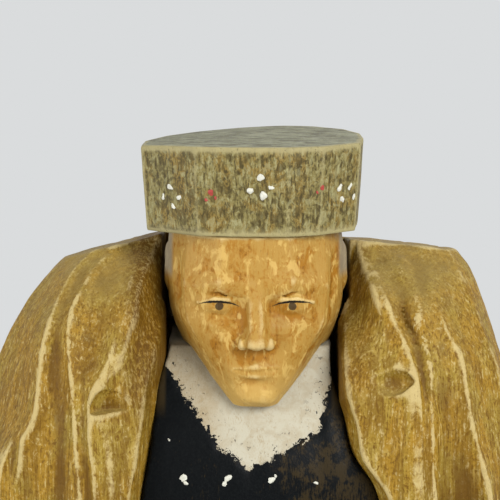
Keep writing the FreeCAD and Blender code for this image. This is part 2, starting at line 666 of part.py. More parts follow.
def build():
    """Every named piece of the figurine."""
    coat_back, coat_right, coat_left = coat_parts()
    chest = torso()
    forearm_right = forearm(1, [chest, coat_right])
    forearm_left = forearm(-1, [chest, coat_left])
    hand_right = hand(1, [chest, forearm_right])
    hand_left = hand(-1, [chest, forearm_left, hand_right, forearm_right])
    return {
        "plinth": plinth(),
        "plinth_screws": screws(),
        "boot_right": drill(boot(1), leg_dowels(), screw_holes()),
        "boot_left": drill(boot(-1), leg_dowels(), screw_holes()),
        "boot_dowels": dowel_set(leg_dowels()),
        "trousers": drill(trousers(), leg_dowels(), waist_dowels()),
        "waist_dowel": dowel_set(waist_dowels()),
        "torso": drill(chest, waist_dowels(), neck_dowels(), coat_dowels(), arm_dowels()),
        "coat_back": drill(coat_back, coat_dowels()),
        "coat_right": drill(coat_right, coat_dowels(), arm_dowels()),
        "coat_left": drill(coat_left, coat_dowels(), arm_dowels()),
        "coat_dowels": dowel_set(coat_dowels()),
        "forearm_right": drill(forearm_right, arm_dowels(), wrist_dowels()),
        "forearm_left": drill(forearm_left, arm_dowels(), wrist_dowels()),
        "forearm_dowels": dowel_set(arm_dowels()),
        "hand_right": drill(hand_right, wrist_dowels()),
        "hand_left": drill(hand_left, wrist_dowels()),
        "wrist_dowels": dowel_set(wrist_dowels()),
        "neck_dowel": dowel_set(neck_dowels()),
        "head": drill(largest(head().cut(chest)), neck_dowels(), hat_dowels()),
        "hat_dowel": dowel_set(hat_dowels()),
        "hat": drill(hat(), hat_dowels()),
    }


def main():
    os.makedirs("parts", exist_ok=True)
    for name, shape in build().items():
        solids = shape.Solids
        if not solids or not all(s.isValid() for s in solids):
            raise RuntimeError(f"{name} isn't a sound solid")
        shape = solids[0] if len(solids) == 1 else Part.makeCompound(solids)
        shape.exportStep(os.path.join("parts", name + ".step"))
        box = shape.BoundBox
        sides = ((box.XMin, box.XMax), (box.YMin, box.YMax), (box.ZMin, box.ZMax))
        spans = "  ".join(f"{low:6.1f} {high:6.1f}" for low, high in sides)
        print(f"{name:16} {len(solids)} solids {shape.Volume:9.1f} mm3  {spans}")


main()
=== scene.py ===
"""A carved and painted wooden figurine, finished around its packed construction.

Every visible block is carved again here, on a grid of points: blanks are lofted between ridge lines, then cut
with knives and gouges, and the skin of what is left becomes the mesh. Sizes in the carving are in millimetres
and in the frame of the construction: +Z is up, the figure faces -Y, and right is +X.
"""

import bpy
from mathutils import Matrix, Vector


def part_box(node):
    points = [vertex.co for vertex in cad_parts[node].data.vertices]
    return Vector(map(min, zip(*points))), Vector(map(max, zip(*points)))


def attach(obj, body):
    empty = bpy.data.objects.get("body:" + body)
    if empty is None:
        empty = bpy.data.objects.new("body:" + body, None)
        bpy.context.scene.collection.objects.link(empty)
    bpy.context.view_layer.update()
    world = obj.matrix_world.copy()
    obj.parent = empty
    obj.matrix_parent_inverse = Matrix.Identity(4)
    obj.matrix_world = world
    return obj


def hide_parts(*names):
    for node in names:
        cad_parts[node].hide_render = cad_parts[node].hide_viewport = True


bl_info = {
    "name": "Carved Wooden Figurine",
    "version": (1, 0, 0),
    "blender": (4, 5, 0),
    "location": "3D View > Sidebar > Figurine",
    "description": "Carves, stains and stages a small wooden figurine around its packed construction",
    "category": "Object",
}

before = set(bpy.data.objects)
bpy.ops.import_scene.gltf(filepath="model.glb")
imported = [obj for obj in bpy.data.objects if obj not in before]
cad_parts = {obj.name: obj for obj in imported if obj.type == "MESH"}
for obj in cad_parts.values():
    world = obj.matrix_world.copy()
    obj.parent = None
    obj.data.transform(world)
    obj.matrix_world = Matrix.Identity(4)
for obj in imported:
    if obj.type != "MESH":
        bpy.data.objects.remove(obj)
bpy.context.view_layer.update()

import math

import bpy
import numpy as np
from mathutils import Vector

MM = 0.001
COARSE = 1.0


def limits(node):
    """The lowest and highest corners of a node of the construction, in millimetres."""
    low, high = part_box(node)
    return np.array(low) / MM, np.array(high) / MM


HEAD_LOW, HEAD_HIGH = limits("head")
HAT_LOW, HAT_HIGH = limits("hat")
TORSO_LOW, TORSO_HIGH = limits("torso")
COAT_LOW, COAT_HIGH = limits("coat_back")
HEAD_X = 0.5 * (HEAD_LOW[0] + HEAD_HIGH[0])
CHIN_Z = HEAD_LOW[2]
HEAD_TOP_Z = HEAD_HIGH[2]
NECK_Z = TORSO_HIGH[2]
WAIST_Z = TORSO_LOW[2]
HEM_Z = COAT_LOW[2]
SHOULDER_Z = COAT_HIGH[2]
GLUE_Y = COAT_LOW[1]
FIT = 0.04                # between two blocks that are glued together
BESIDE = 0.05             # puts a point of a grid just off the surface
INSIDE = -9.0             # where a cut leaves the wood alone
FAR = 60.0                # well past the figure's sides
ROOM = (50.0, 40.0, 200.0)    # the room that the unevenness of the carving is laid out in
NEAR = 3.0                # distances from a surface count as no more than this when they are averaged
LEVEL_STEP = 0.85         # a grid's fine steps in z, as a share of those in x and y


# ---- carving on a grid ----

class Grid:
    """The points that a block is carved on: even steps, and longer ones in z below fine_z."""

    def __init__(self, low, high, step, fine_z=None, long_step=None):
        step *= COARSE
        margin = 2.5 * step
        self.step = step
        self.xs = np.arange(low[0] - margin, high[0] + margin, step)
        self.ys = np.arange(low[1] - margin, high[1] + margin, step)
        bottom, top = low[2] - margin, high[2] + margin
        if fine_z is None:
            self.zs = np.arange(bottom, top, step)
        else:
            self.zs = np.concatenate([np.arange(bottom, fine_z, long_step * COARSE),
                                      np.arange(fine_z, top, LEVEL_STEP * step)])
        self.x = self.xs[:, None, None].astype(np.float32)
        self.y = self.ys[None, :, None].astype(np.float32)
        self.z = self.zs[None, None, :].astype(np.float32)
        self.shape = (len(self.xs), len(self.ys), len(self.zs))


def along(ridge, zs):
    """A ridge's values at heights zs, on a smooth curve through its stations, given from the top down."""
    table = np.array(ridge, float)[::-1]
    s, v = table[:, 0], table[:, 1:]
    slope = np.gradient(v, s, axis=0)
    z = np.clip(zs, s[0], s[-1])
    i = np.clip(np.searchsorted(s, z) - 1, 0, len(s) - 2)
    h = (s[i + 1] - s[i])[:, None]
    t = (z - s[i])[:, None] / h
    return ((1 + 2 * t) * (1 - t) ** 2 * v[i] + t * (1 - t) ** 2 * h * slope[i]
            + t * t * (3 - 2 * t) * v[i + 1] + t * t * (t - 1) * h * slope[i + 1])


def lofted(g, ridges, centre=(0.0, 0.0), parts=6):
    """A blank whose edges run up ridges of (z, x, y, bulge), counterclockwise round centre seen from above.

    bulge is how far the face after a ridge swells out at its middle, or sinks in where it is negative.
    """
    track = np.stack([along(r, g.zs) for r in ridges], axis=1)
    start, end = track[:, :, None, :2], np.roll(track, -1, axis=1)[:, :, None, :2]
    way = end - start
    length = np.linalg.norm(way, axis=-1, keepdims=True)
    out = np.stack([way[..., 1], -way[..., 0]], axis=-1) / length
    share = (np.arange(parts) / parts)[None, None, :, None]
    corners = start + way * share + out * (4 * share * (1 - share) * track[:, :, None, 2:3])
    corners = corners.reshape(len(g.zs), -1, 2) - np.array(centre)
    x = (g.x - centre[0])[:, :, 0]
    y = (g.y - centre[1])[:, :, 0]
    turn = np.arctan2(y, x)
    x, y = x + 0 * y, y + 0 * x
    field = np.empty(g.shape, np.float32)
    for k in range(len(g.zs)):
        angle = np.arctan2(corners[k, :, 1], corners[k, :, 0])
        order = np.argsort(angle)
        ring = corners[k][order]
        j = np.searchsorted(angle[order], turn)
        a, b = ring[j - 1], ring[j % len(ring)]
        edge = b - a
        field[:, :, k] = (((x - a[..., 0]) * edge[..., 1] - (y - a[..., 1]) * edge[..., 0])
                          / np.hypot(edge[..., 0], edge[..., 1]))
    return evened(g, field)


def evened(g, field):
    """A field scaled so that it changes by a millimetre for each millimetre away from the surface."""
    slopes = np.gradient(field, g.xs, g.ys, g.zs)
    steep = blurred(np.sqrt(sum(s * s for s in slopes)), 1)
    return (field / np.clip(steep, 0.5, 3.0)).astype(np.float32)


def plane(g, point, facing):
    """The distance beyond a flat knife cut through point."""
    n = np.array(facing, float) / np.linalg.norm(facing)
    return (g.x - point[0]) * n[0] + (g.y - point[1]) * n[1] + (g.z - point[2]) * n[2]


def beside(g, first, second):
    """The distance to the left of an upright surface that leads from one ridge to another."""
    a, b = along(first, g.zs)[:, :2], along(second, g.zs)[:, :2]
    way = (b - a) / np.linalg.norm(b - a, axis=1, keepdims=True)
    left = np.stack([-way[:, 1], way[:, 0]], axis=1).astype(np.float32)
    a = a.astype(np.float32)
    return (g.x - a[:, 0]) * left[:, 0] + (g.y - a[:, 1]) * left[:, 1]


def slab(g, low, high):
    """The distance outside an upright block between two corners."""
    x = np.maximum(low[0] - g.x, g.x - high[0])
    y = np.maximum(low[1] - g.y, g.y - high[1])
    z = np.maximum(low[2] - g.z, g.z - high[2])
    return np.maximum(np.maximum(x, y), z)


def egg(g, centre, radii):
    """The distance outside an ellipsoid."""
    p = [(a - c) / r for a, c, r in zip((g.x, g.y, g.z), centre, radii)]
    near = np.sqrt(sum(q * q for q in p))
    steep = np.sqrt(sum((q / r) ** 2 for q, r in zip(p, radii))) + 1e-6
    return near * (near - 1) / steep


def rod(g, points, radii):
    """The distance outside a round rod along points, with a radius at each."""
    field = None
    points = [np.array(p, float) for p in points]
    for a, b, ra, rb in zip(points, points[1:], radii, radii[1:]):
        way = b - a
        rise = [g.x - a[0], g.y - a[1], g.z - a[2]]
        t = np.clip(sum(r * w for r, w in zip(rise, way)) / way.dot(way), 0, 1)
        away = np.sqrt(sum((r - t * w) ** 2 for r, w in zip(rise, way))) - (ra + t * (rb - ra))
        field = away if field is None else np.minimum(field, away)
    return field.astype(np.float32)


def both(a, b, soft=0.0):
    """What two blocks share, with the edge between them worn to a width of about soft."""
    if not soft:
        return np.maximum(a, b)
    h = np.clip(0.5 + 0.5 * (a - b) / soft, 0, 1)
    return b + (a - b) * h + soft * h * (1 - h)


def cut(a, b, soft=0.0):
    """Block a without block b."""
    return both(a, -b, soft)


def joined(a, b, soft=0.0):
    """Two blocks as one, with the corner between them filled to a width of about soft."""
    return -both(-a, -b, soft)


def lumps(g, seed, size, height):
    """Uneven hand work: a smooth random rise and fall, the same wherever a grid is laid."""
    reach = (np.array(ROOM) / size).astype(int) + 3
    lattice = np.random.default_rng(seed).uniform(-1, 1, (2 * reach[0], 2 * reach[1], reach[2]))
    for axis, places in enumerate((g.xs / size[0] + reach[0], g.ys / size[1] + reach[1], g.zs / size[2] + 1)):
        i = np.clip(places.astype(int), 0, lattice.shape[axis] - 2)
        t = np.clip(places - i, 0, 1)
        t = t * t * (3 - 2 * t)
        shape = [1, 1, 1]
        shape[axis] = len(t)
        t = t.reshape(shape)
        lattice = np.take(lattice, i, axis) * (1 - t) + np.take(lattice, i + 1, axis) * t
    return (height * lattice).astype(np.float32)


def blurred(field, reach):
    """A field averaged over reach steps each way, twice."""
    field = np.clip(field, -NEAR, NEAR)
    for _ in range(2):
        for axis in range(3):
            pads = [(0, 0)] * 3
            pads[axis] = (reach + 1, reach)
            total = np.cumsum(np.pad(field, pads, mode="edge"), axis=axis, dtype=np.float64)
            n = field.shape[axis]
            top = np.take(total, np.arange(2 * reach + 1, 2 * reach + 1 + n), axis)
            field = ((top - np.take(total, np.arange(n), axis)) / (2 * reach + 1)).astype(np.float32)
    return field


EDGES = [((0, 0, 0), 0), ((0, 1, 0), 0), ((0, 0, 1), 0), ((0, 1, 1), 0),
         ((0, 0, 0), 1), ((1, 0, 0), 1), ((0, 0, 1), 1), ((1, 0, 1), 1),
         ((0, 0, 0), 2), ((1, 0, 0), 2), ((0, 1, 0), 2), ((1, 1, 0), 2)]


def skinned(g, field):
    """The surface of a block: its points in steps of the grid, and its four-sided faces."""
    inside = field < 0
    count = np.zeros([n - 1 for n in g.shape], np.int8)
    for i in (0, 1):
        for j in (0, 1):
            for k in (0, 1):
                count += inside[i:g.shape[0] - 1 + i, j:g.shape[1] - 1 + j, k:g.shape[2] - 1 + k]
    cells = np.argwhere((count > 0) & (count < 8))
    number = np.full(count.shape, -1, np.int32)
    number[tuple(cells.T)] = np.arange(len(cells))
    total = np.zeros((len(cells), 3))
    hits = np.zeros(len(cells))
    for corner, axis in EDGES:
        a = cells + corner
        b = a.copy()
        b[:, axis] += 1
        fa, fb = field[tuple(a.T)], field[tuple(b.T)]
        crossed = (fa < 0) != (fb < 0)
        t = np.where(crossed, fa / np.where(crossed, fa - fb, 1), 0)
        place = a.astype(float)
        place[:, axis] += t
        total[crossed] += place[crossed]
        hits += crossed
    faces = []
    for axis in range(3):
        u, v = (axis + 1) % 3, (axis + 2) % 3
        near = [slice(1, n - 1) for n in g.shape]
        near[axis] = slice(0, g.shape[axis] - 1)
        far = list(near)
        far[axis] = slice(1, g.shape[axis])
        change = inside[tuple(near)].astype(np.int8) - inside[tuple(far)]
        places = np.argwhere(change != 0)
        sign = change[tuple(places.T)]
        base = places + [0 if k == axis else 1 for k in range(3)]
        ring = []
        for du, dv in ((-1, -1), (0, -1), (0, 0), (-1, 0)):
            p = base.copy()
            p[:, u] += du
            p[:, v] += dv
            ring.append(number[tuple(p.T)])
        quad = np.stack(ring, axis=1)
        quad[sign < 0] = quad[sign < 0][:, ::-1]
        faces.append(quad)
    return total / hits[:, None], np.concatenate(faces)


def cleaned(field):
    """A block without loose specks and pinholes, closed where it would run out of its grid."""
    inside = field < 0
    count = sum(np.roll(inside, way, axis).astype(np.int8) for axis in range(3) for way in (1, -1))
    field = np.where(inside & (count < 2), BESIDE, field)
    field = np.where(~inside & (count > 4), -BESIDE, field)
    for axis in range(3):
        ends = np.moveaxis(field, axis, 0)
        ends[[0, -1]] = np.maximum(ends[[0, -1]], BESIDE)
    return field


def whole_block(points, faces):
    """The largest connected skin: a block is one piece of wood, and crumbs beside it are dropped."""
    sides = np.sort(np.stack([faces, np.roll(faces, -1, axis=1)], axis=-1), axis=-1).reshape(-1, 2)
    key = sides[:, 0].astype(np.int64) * len(points) + sides[:, 1]
    order = np.argsort(key, kind="stable")
    key, owner = key[order], order // 4
    first = np.flatnonzero(np.r_[True, key[1:] != key[:-1]])
    paired = first[np.diff(np.r_[first, len(key)]) == 2]
    one, other = owner[paired], owner[paired + 1]
    label = np.arange(len(faces))
    while True:
        lower = label.copy()
        np.minimum.at(lower, one, label[other])
        np.minimum.at(lower, other, label[one])
        lower = lower[lower]
        if np.array_equal(lower, label):
            break
        label = lower
    faces = faces[label == np.bincount(label).argmax()]
    used, faces = np.unique(faces, return_inverse=True)
    return points[used], faces.reshape(-1, 4)


def sampled(field, points):
    """A field's values at points given in steps of its grid."""
    base = np.clip(points.astype(int), 0, np.array(field.shape) - 2)
    t = points - base
    value = 0
    for i in (0, 1):
        for j in (0, 1):
            for k in (0, 1):
                weight = (abs(1 - i - t[:, 0]) * abs(1 - j - t[:, 1]) * abs(1 - k - t[:, 2]))
                value = value + weight * field[base[:, 0] + i, base[:, 1] + j, base[:, 2] + k]
    return value


def new_mesh(name, points, faces):
    """A smooth mesh object at the origin, from points in metres."""
    mesh = bpy.data.meshes.new(name)
    mesh.vertices.add(len(points))
    mesh.vertices.foreach_set("co", np.asarray(points, np.float32).ravel())
    mesh.loops.add(faces.size)
    mesh.loops.foreach_set("vertex_index", faces.astype(np.int32).ravel())
    mesh.polygons.add(len(faces))
    mesh.polygons.foreach_set("loop_start", np.arange(0, faces.size, faces.shape[1], dtype=np.int32))
    mesh.polygons.foreach_set("use_smooth", np.ones(len(faces), bool))
    mesh.update(calc_edges=True)
    mesh.validate()
    piece = bpy.data.objects.new(name, mesh)
    bpy.context.scene.collection.objects.link(piece)
    return piece


RIDGE_REACH = 0.5         # how far round a point the wood is averaged to find sharp ridges
HOLLOW_REACH = 1.5        # and to find broad hollows


def carved(name, g, field, material, nodes, whole=None, wear=1.0):
    """A finished piece from a carved block: its mesh, its marks for wear and dirt, its place in the frame.

    whole is the block before it was split from its neighbours, so that a glue face leaves no mark of wear;
    wear is how strongly the piece's ridges are rubbed.
    """
    whole = field if whole is None else whole
    field = cleaned(field)
    points, faces = whole_block(*skinned(g, field))
    near = np.clip(whole, -NEAR, NEAR)
    ridge = sampled(blurred(whole, max(1, round(RIDGE_REACH / g.step))) - near, points)
    hollow = sampled(blurred(whole, max(2, round(HOLLOW_REACH / g.step))) - near, points)
    place = np.stack([np.interp(points[:, k], np.arange(g.shape[k]), axis)
                      for k, axis in enumerate((g.xs, g.ys, g.zs))], axis=1)
    piece = new_mesh(name, place * MM, faces)
    for mark, values in (("ridge", wear * ridge), ("hollow", wear * hollow)):
        layer = piece.data.attributes.new(mark, "FLOAT", "POINT")
        layer.data.foreach_set("value", values.astype(np.float32))
    finished(piece, material, nodes)
    return piece


def finished(piece, material, nodes=()):
    """Gives a piece its material and its place in the frame."""
    piece.data.materials.clear()
    piece.data.materials.append(material)
    if nodes:
        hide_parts(*nodes)
    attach(piece, "root")


# ---- stains and paints ----

def tint(red, green, blue):
    """A colour as a shader takes it, from display values between 0 and 255."""
    def linear(c):
        c /= 255
        return c / 12.92 if c <= 0.04045 else ((c + 0.055) / 1.055) ** 2.4
    return (linear(red), linear(green), linear(blue), 1.0)


def add_node(tree, kind, *values, operation=None, **named):
    """A new node, its inputs fed in order or by name with other nodes' outputs or plain values."""
    made = tree.nodes.new(kind)
    if operation:
        made.operation = operation
    pairs = list(zip(made.inputs, values))
    pairs += [(made.inputs[name.replace("_", " ")], value) for name, value in named.items()]
    for socket, value in pairs:
        feed(tree, socket, value)
    return made


def feed(tree, socket, value):
    """Links a node's output to a socket, or sets a plain value there."""
    if isinstance(value, bpy.types.NodeSocket):
        tree.links.new(value, socket)
    else:
        socket.default_value = value


class Finish:
    """A material put together layer by layer; sizes in its patterns are in millimetres."""

    def __init__(self, name):
        self.material = bpy.data.materials.new(name)
        self.material.use_nodes = True
        self.tree = self.material.node_tree
        self.tree.nodes.clear()
        self.out = self.node("ShaderNodeOutputMaterial")
        self.shader = self.node("ShaderNodeBsdfPrincipled")
        self.tree.links.new(self.shader.outputs[0], self.out.inputs["Surface"])
        where = self.node("ShaderNodeTexCoord").outputs["Object"]
        self.place = self.vector("MULTIPLY", where, (1 / MM,) * 3)
        self.x, self.y, self.z = self.node("ShaderNodeSeparateXYZ", self.place).outputs

    def node(self, kind, *values, **named):
        """A node of this material."""
        return add_node(self.tree, kind, *values, **named)

    def vector(self, way, a, b):
        """A sum on two vectors."""
        return self.node("ShaderNodeVectorMath", a, b, operation=way).outputs[0]

    def math(self, way, a, b=0.0):
        """A sum on two values, or on one."""
        return self.node("ShaderNodeMath", a, b, operation=way).outputs[0]

    def plus(self, *values):
        """All the values added up."""
        total = values[0]
        for value in values[1:]:
            total = self.math("ADD", total, value)
        return total

    def times(self, a, b):
        """The product of two values."""
        return self.math("MULTIPLY", a, b)

    def sway(self, pattern, reach):
        """A pattern between 0 and 1 as a rise and fall about 0, with reach from its lowest to its highest."""
        return self.times(self.plus(pattern, -0.5), reach)

    def ramp(self, value, low, high, to_low=0.0, to_high=1.0):
        """A smooth step of value from low to high."""
        made = self.node("ShaderNodeMapRange", value, low, high, to_low, to_high)
        made.interpolation_type = "SMOOTHSTEP"
        return made.outputs[0]

    def noise(self, size, detail=3.0, rough=0.55, warp=0.0, shift=0.0):
        """A cloudy pattern between 0 and 1, size being the width of its clouds along x, y and z."""
        size = (size,) * 3 if isinstance(size, float) else size
        moved = self.vector("ADD", self.place, (shift,) * 3)
        scaled = self.vector("MULTIPLY", moved, tuple(1 / s for s in size))
        return self.node("ShaderNodeTexNoise", Vector=scaled, Scale=1.0, Detail=detail, Roughness=rough,
                         Distortion=warp).outputs[0]

    def mark(self, name):
        """A value that the carving left on the block's points."""
        made = self.tree.nodes.new("ShaderNodeAttribute")
        made.attribute_name = name
        return made.outputs["Fac"]

    def upward(self):
        """1 on a face that looks up, 0 on an upright one."""
        normal = self.node("ShaderNodeNewGeometry").outputs["Normal"]
        return self.node("ShaderNodeSeparateXYZ", Vector=normal).outputs["Z"]

    def mix(self, share, a, b):
        """Colour a, or b where share is 1."""
        made = self.node("ShaderNodeMix", share)
        made.data_type = "RGBA"
        feed(self.tree, made.inputs[6], a)
        feed(self.tree, made.inputs[7], b)
        return made.outputs[2]

    def finish(self, colour, roughness, height, depth, specular=0.4):
        """Connects the last colour, the roughness and a bump of height, depth millimetres deep."""
        bump = self.node("ShaderNodeBump", Height=height, Strength=1.0, Distance=depth * MM)
        for name, value in (("Base Color", colour), ("Roughness", roughness), ("Normal", bump.outputs[0]),
                            ("Specular IOR Level", specular)):
            feed(self.tree, self.shader.inputs[name], value)
        return self.material


def wood_streaks(f, fine=0.22, long=7.0):
    """The grain that shows through every finish: fine fibres along z, and slower bands."""
    fibres = f.noise((fine, fine, long), 4.0, 0.65)
    bands = f.noise((1.3, 1.3, 26.0), 3.0, 0.5, 0.4, 7.0)
    return f.plus(f.times(fibres, 0.65), f.times(bands, 0.35))


def coat_stain(colours):
    """A translucent ochre stain: amber where it pooled in the cuts, worn pale along the ridges, painted shade
    by the head.
    """
    f = Finish("coat_stain")
    fibres = f.noise((0.30, 0.30, 3.4), 3.0, 0.65)
    curls = f.noise((0.62, 0.62, 0.85), 4.0, 0.65, 1.2, 11.0)
    bands = f.noise((1.1, 1.1, 22.0), 3.0, 0.55, 0.5, 7.0)
    patches = f.noise((4.6, 4.6, 9.0), 3.0, 0.55, 0.4, 3.0)
    clouds = f.noise((2.2, 2.2, 3.6), 3.0, 0.6, 0.5, 41.0)
    ridge, hollow = f.mark("ridge"), f.mark("hollow")
    colour = f.mix(f.ramp(patches, 0.40, 0.62), colours.coat_stain, colours.coat_olive)
    colour = f.mix(f.ramp(clouds, 0.52, 0.70, 0.0, 0.75), colour, colours.coat_pale)
    colour = f.mix(f.ramp(bands, 0.56, 0.38, 0.0, 0.55), colour, colours.coat_deep)
    grain = f.plus(f.times(fibres, 0.5), f.times(curls, 0.5))
    colour = f.mix(f.ramp(grain, 0.51, 0.39), colour, colours.coat_deep)
    colour = f.mix(f.ramp(grain, 0.53, 0.64, 0.0, 0.75), colour, colours.coat_worn)
    pooled = f.ramp(f.plus(hollow, f.sway(clouds, -0.3)), -0.02, -0.26)
    colour = f.mix(f.times(pooled, 0.8), colour, colours.coat_pool_and_shade)
    low = f.ramp(f.z, SHOULDER_Z - 22.0, SHOULDER_Z - 50.0, 0.0, 0.45)
    colour = f.mix(f.times(low, f.ramp(bands, 0.55, 0.42)), colour, colours.coat_pool_and_shade)
    corner = f.times(f.ramp(f.x, 22.0, 26.0), f.ramp(f.z, SHOULDER_Z - 31.0, SHOULDER_Z - 38.0, 0.0, 0.6))
    colour = f.mix(f.times(corner, f.ramp(f.plus(bands, clouds), 1.12, 0.88)), colour, colours.coat_pool_and_shade)
    dust = f.times(f.ramp(f.plus(f.upward(), f.sway(curls, 0.5)), 0.35, 0.95), 0.65)
    colour = f.mix(dust, colour, colours.coat_dust)
    worn = f.ramp(f.plus(ridge, f.sway(clouds, 0.26), f.sway(curls, 0.16)),
                  0.065, 0.17, 0.0, 0.9)
    colour = f.mix(f.times(worn, f.ramp(f.y, 4.0, 10.0, 1.0, 0.5)), colour, colours.coat_worn)
    # Pooled stain and painted shade: the coat's inner facets, where they turn in beside the head, are
    # darkened strongly on the left and less on the right.
    high = f.ramp(f.z, SHOULDER_Z - 27.0, SHOULDER_Z - 17.0)
    left = f.ramp(f.plus(f.x, f.sway(clouds, 3.0)), -18.5, -15.5, 0.0, 0.95)
    right = f.ramp(f.plus(f.x, f.sway(clouds, 3.0)), 17.5, 15.0, 0.0, 0.45)
    side = f.mix(f.ramp(f.x, -0.5, 0.5), left, right)
    painted_shade = f.times(f.times(high, side), f.ramp(grain, 0.58, 0.44, 0.45, 1.0))
    colour = f.mix(painted_shade, colour, colours.coat_pool_and_shade)
    grime = f.ramp(f.noise((0.3, 0.3, 1.1), 4.0, 0.7, 0.0, 23.0), 0.58, 0.70, 0.0, 0.6)
    colour = f.mix(grime, colour, colours.coat_pool_and_shade)
    chatter = f.noise((6.0, 6.0, 0.8), 2.0, 0.5, 0.3, 17.0)
    height = f.plus(f.times(grain, 1.2), f.times(bands, 0.6), f.times(chatter, 0.6))
    return f.finish(colour, f.ramp(curls, 0.3, 0.7, 0.45, 0.62), height, 0.16, 0.13)


def plain_wood(name, deep, light, worn, depth=0.08):
    """A stained block with worn ridges, for the pieces that the coat hides or the shelf shows."""
    f = Finish(name)
    streaks = wood_streaks(f)
    fleck = f.noise(0.45, 2.0, 0.6, 0.0, 11.0)
    colour = f.mix(f.ramp(streaks, 0.36, 0.62), deep, light)
    colour = f.mix(f.ramp(f.mark("hollow"), -0.05, -0.35, 0.0, 0.7), colour, deep)
    clouds = f.noise((1.5, 1.5, 2.2), 3.0, 0.6, 0.5, 19.0)
    edge = f.ramp(f.plus(f.mark("ridge"), f.sway(clouds, 0.5), f.sway(fleck, 0.12)),
                  0.14, 0.34, 0.0, 0.6)
    colour = f.mix(edge, colour, worn)
    height = f.plus(streaks, f.times(fleck, 0.3))
    return f.finish(colour, f.ramp(fleck, 0.3, 0.7, 0.4, 0.58), height, depth)


def skin_wash(colours):
    """Pale wood with an amber wash that pooled under the brows and cheeks, painted bounce light at the chin,
    and the eyes' painted lines.
    """
    f = Finish("skin_wood")
    streaks = wood_streaks(f, 0.32, 4.0)
    patches = f.noise((2.8, 2.8, 3.0), 3.0, 0.6, 0.6, 5.0)
    fleck = f.noise((0.5, 0.5, 0.7), 4.0, 0.65, 0.8, 9.0)
    ridge, hollow = f.mark("ridge"), f.mark("hollow")
    grain = f.plus(f.times(streaks, 0.55), f.times(fleck, 0.45))
    colour = f.mix(f.ramp(grain, 0.52, 0.38, 0.0, 0.8), colours.skin_wash, colours.skin_amber)
    pool = f.ramp(f.plus(patches, f.times(hollow, -0.45)), 0.46, 0.62, 0.0, 0.9)
    colour = f.mix(pool, colour, colours.skin_amber)
    colour = f.mix(f.times(pool, f.ramp(grain, 0.50, 0.40, 0.0, 0.8)), colour, colours.skin_deep)
    pale = f.ramp(f.noise((1.5, 1.5, 2.6), 3.0, 0.65, 0.5, 27.0), 0.53, 0.64, 0.0, 0.75)
    colour = f.mix(pale, colour, colours.skin_rubbed_and_lit)
    worn = f.ramp(f.plus(ridge, f.sway(patches, 0.12), f.sway(fleck, 0.10)),
                  0.05, 0.16, 0.0, 0.7)
    colour = f.mix(worn, colour, colours.skin_worn)
    # Painted light: the face turns paler towards the chin, standing in for light bounced up from below; the
    # hands, lower down, are left out.
    low = f.times(f.ramp(f.z, CHIN_Z + 7.0, CHIN_Z + 1.0, 0.0, 0.55), f.ramp(f.z, CHIN_Z - 8.0, CHIN_Z - 4.0))
    colour = f.mix(low, colour, colours.skin_rubbed_and_lit)
    grime = f.ramp(f.noise((0.4, 0.4, 1.2), 4.0, 0.7, 0.0, 21.0), 0.60, 0.74, 0.0, 0.45)
    colour = f.mix(grime, colour, colours.skin_deep)
    across = f.math("ABSOLUTE", f.plus(f.x, -HEAD_X))
    grey = f.times(f.ramp(across, 11.4, 12.0), f.ramp(f.z, CHIN_Z + 16.5, CHIN_Z + 18.5))
    behind = f.ramp(f.y, 1.5, 3.0)
    hair = f.math("MAXIMUM", f.times(grey, 0.8), f.times(behind, f.ramp(f.z, CHIN_Z + 8.0, CHIN_Z + 10.0)))
    colour = f.mix(hair, colour, colours.hair_grey)
    colour = f.mix(eye_lines(f, across, fleck), colour, colours.ink)
    height = f.plus(streaks, f.times(fleck, 0.4))
    return f.finish(colour, f.ramp(patches, 0.4, 0.7, 0.5, 0.66), height, 0.10, 0.18)


def eye_lines(f, across, fleck):
    """The painted line of each upper lid, and the dot of each eye under it."""
    aside = f.plus(across, -EYE_X)
    arch = f.plus(EYE_Z + 0.62, f.times(f.times(aside, aside), -0.075), f.times(aside, 0.05))
    wobble = f.sway(fleck, 0.35)
    above = f.math("ABSOLUTE", f.plus(f.z, f.times(arch, -1.0), wobble))
    thick = f.ramp(f.math("ABSOLUTE", aside), 2.9, 0.6, 0.04, 0.20)
    line = f.ramp(f.plus(above, f.times(thick, -1.0)), 0.05, -0.05)
    line = f.times(line, f.ramp(f.math("ABSOLUTE", aside), 2.9, 2.6))
    drop = f.plus(f.z, -(EYE_Z - 0.05))
    reach = f.math("SQRT", f.plus(f.times(aside, aside), f.times(drop, drop)))
    dot = f.ramp(f.plus(reach, wobble), 0.62, 0.50)
    front = f.ramp(f.y, -8.0, -9.0)
    return f.times(f.math("MAXIMUM", line, f.times(dot, 0.85)), front)


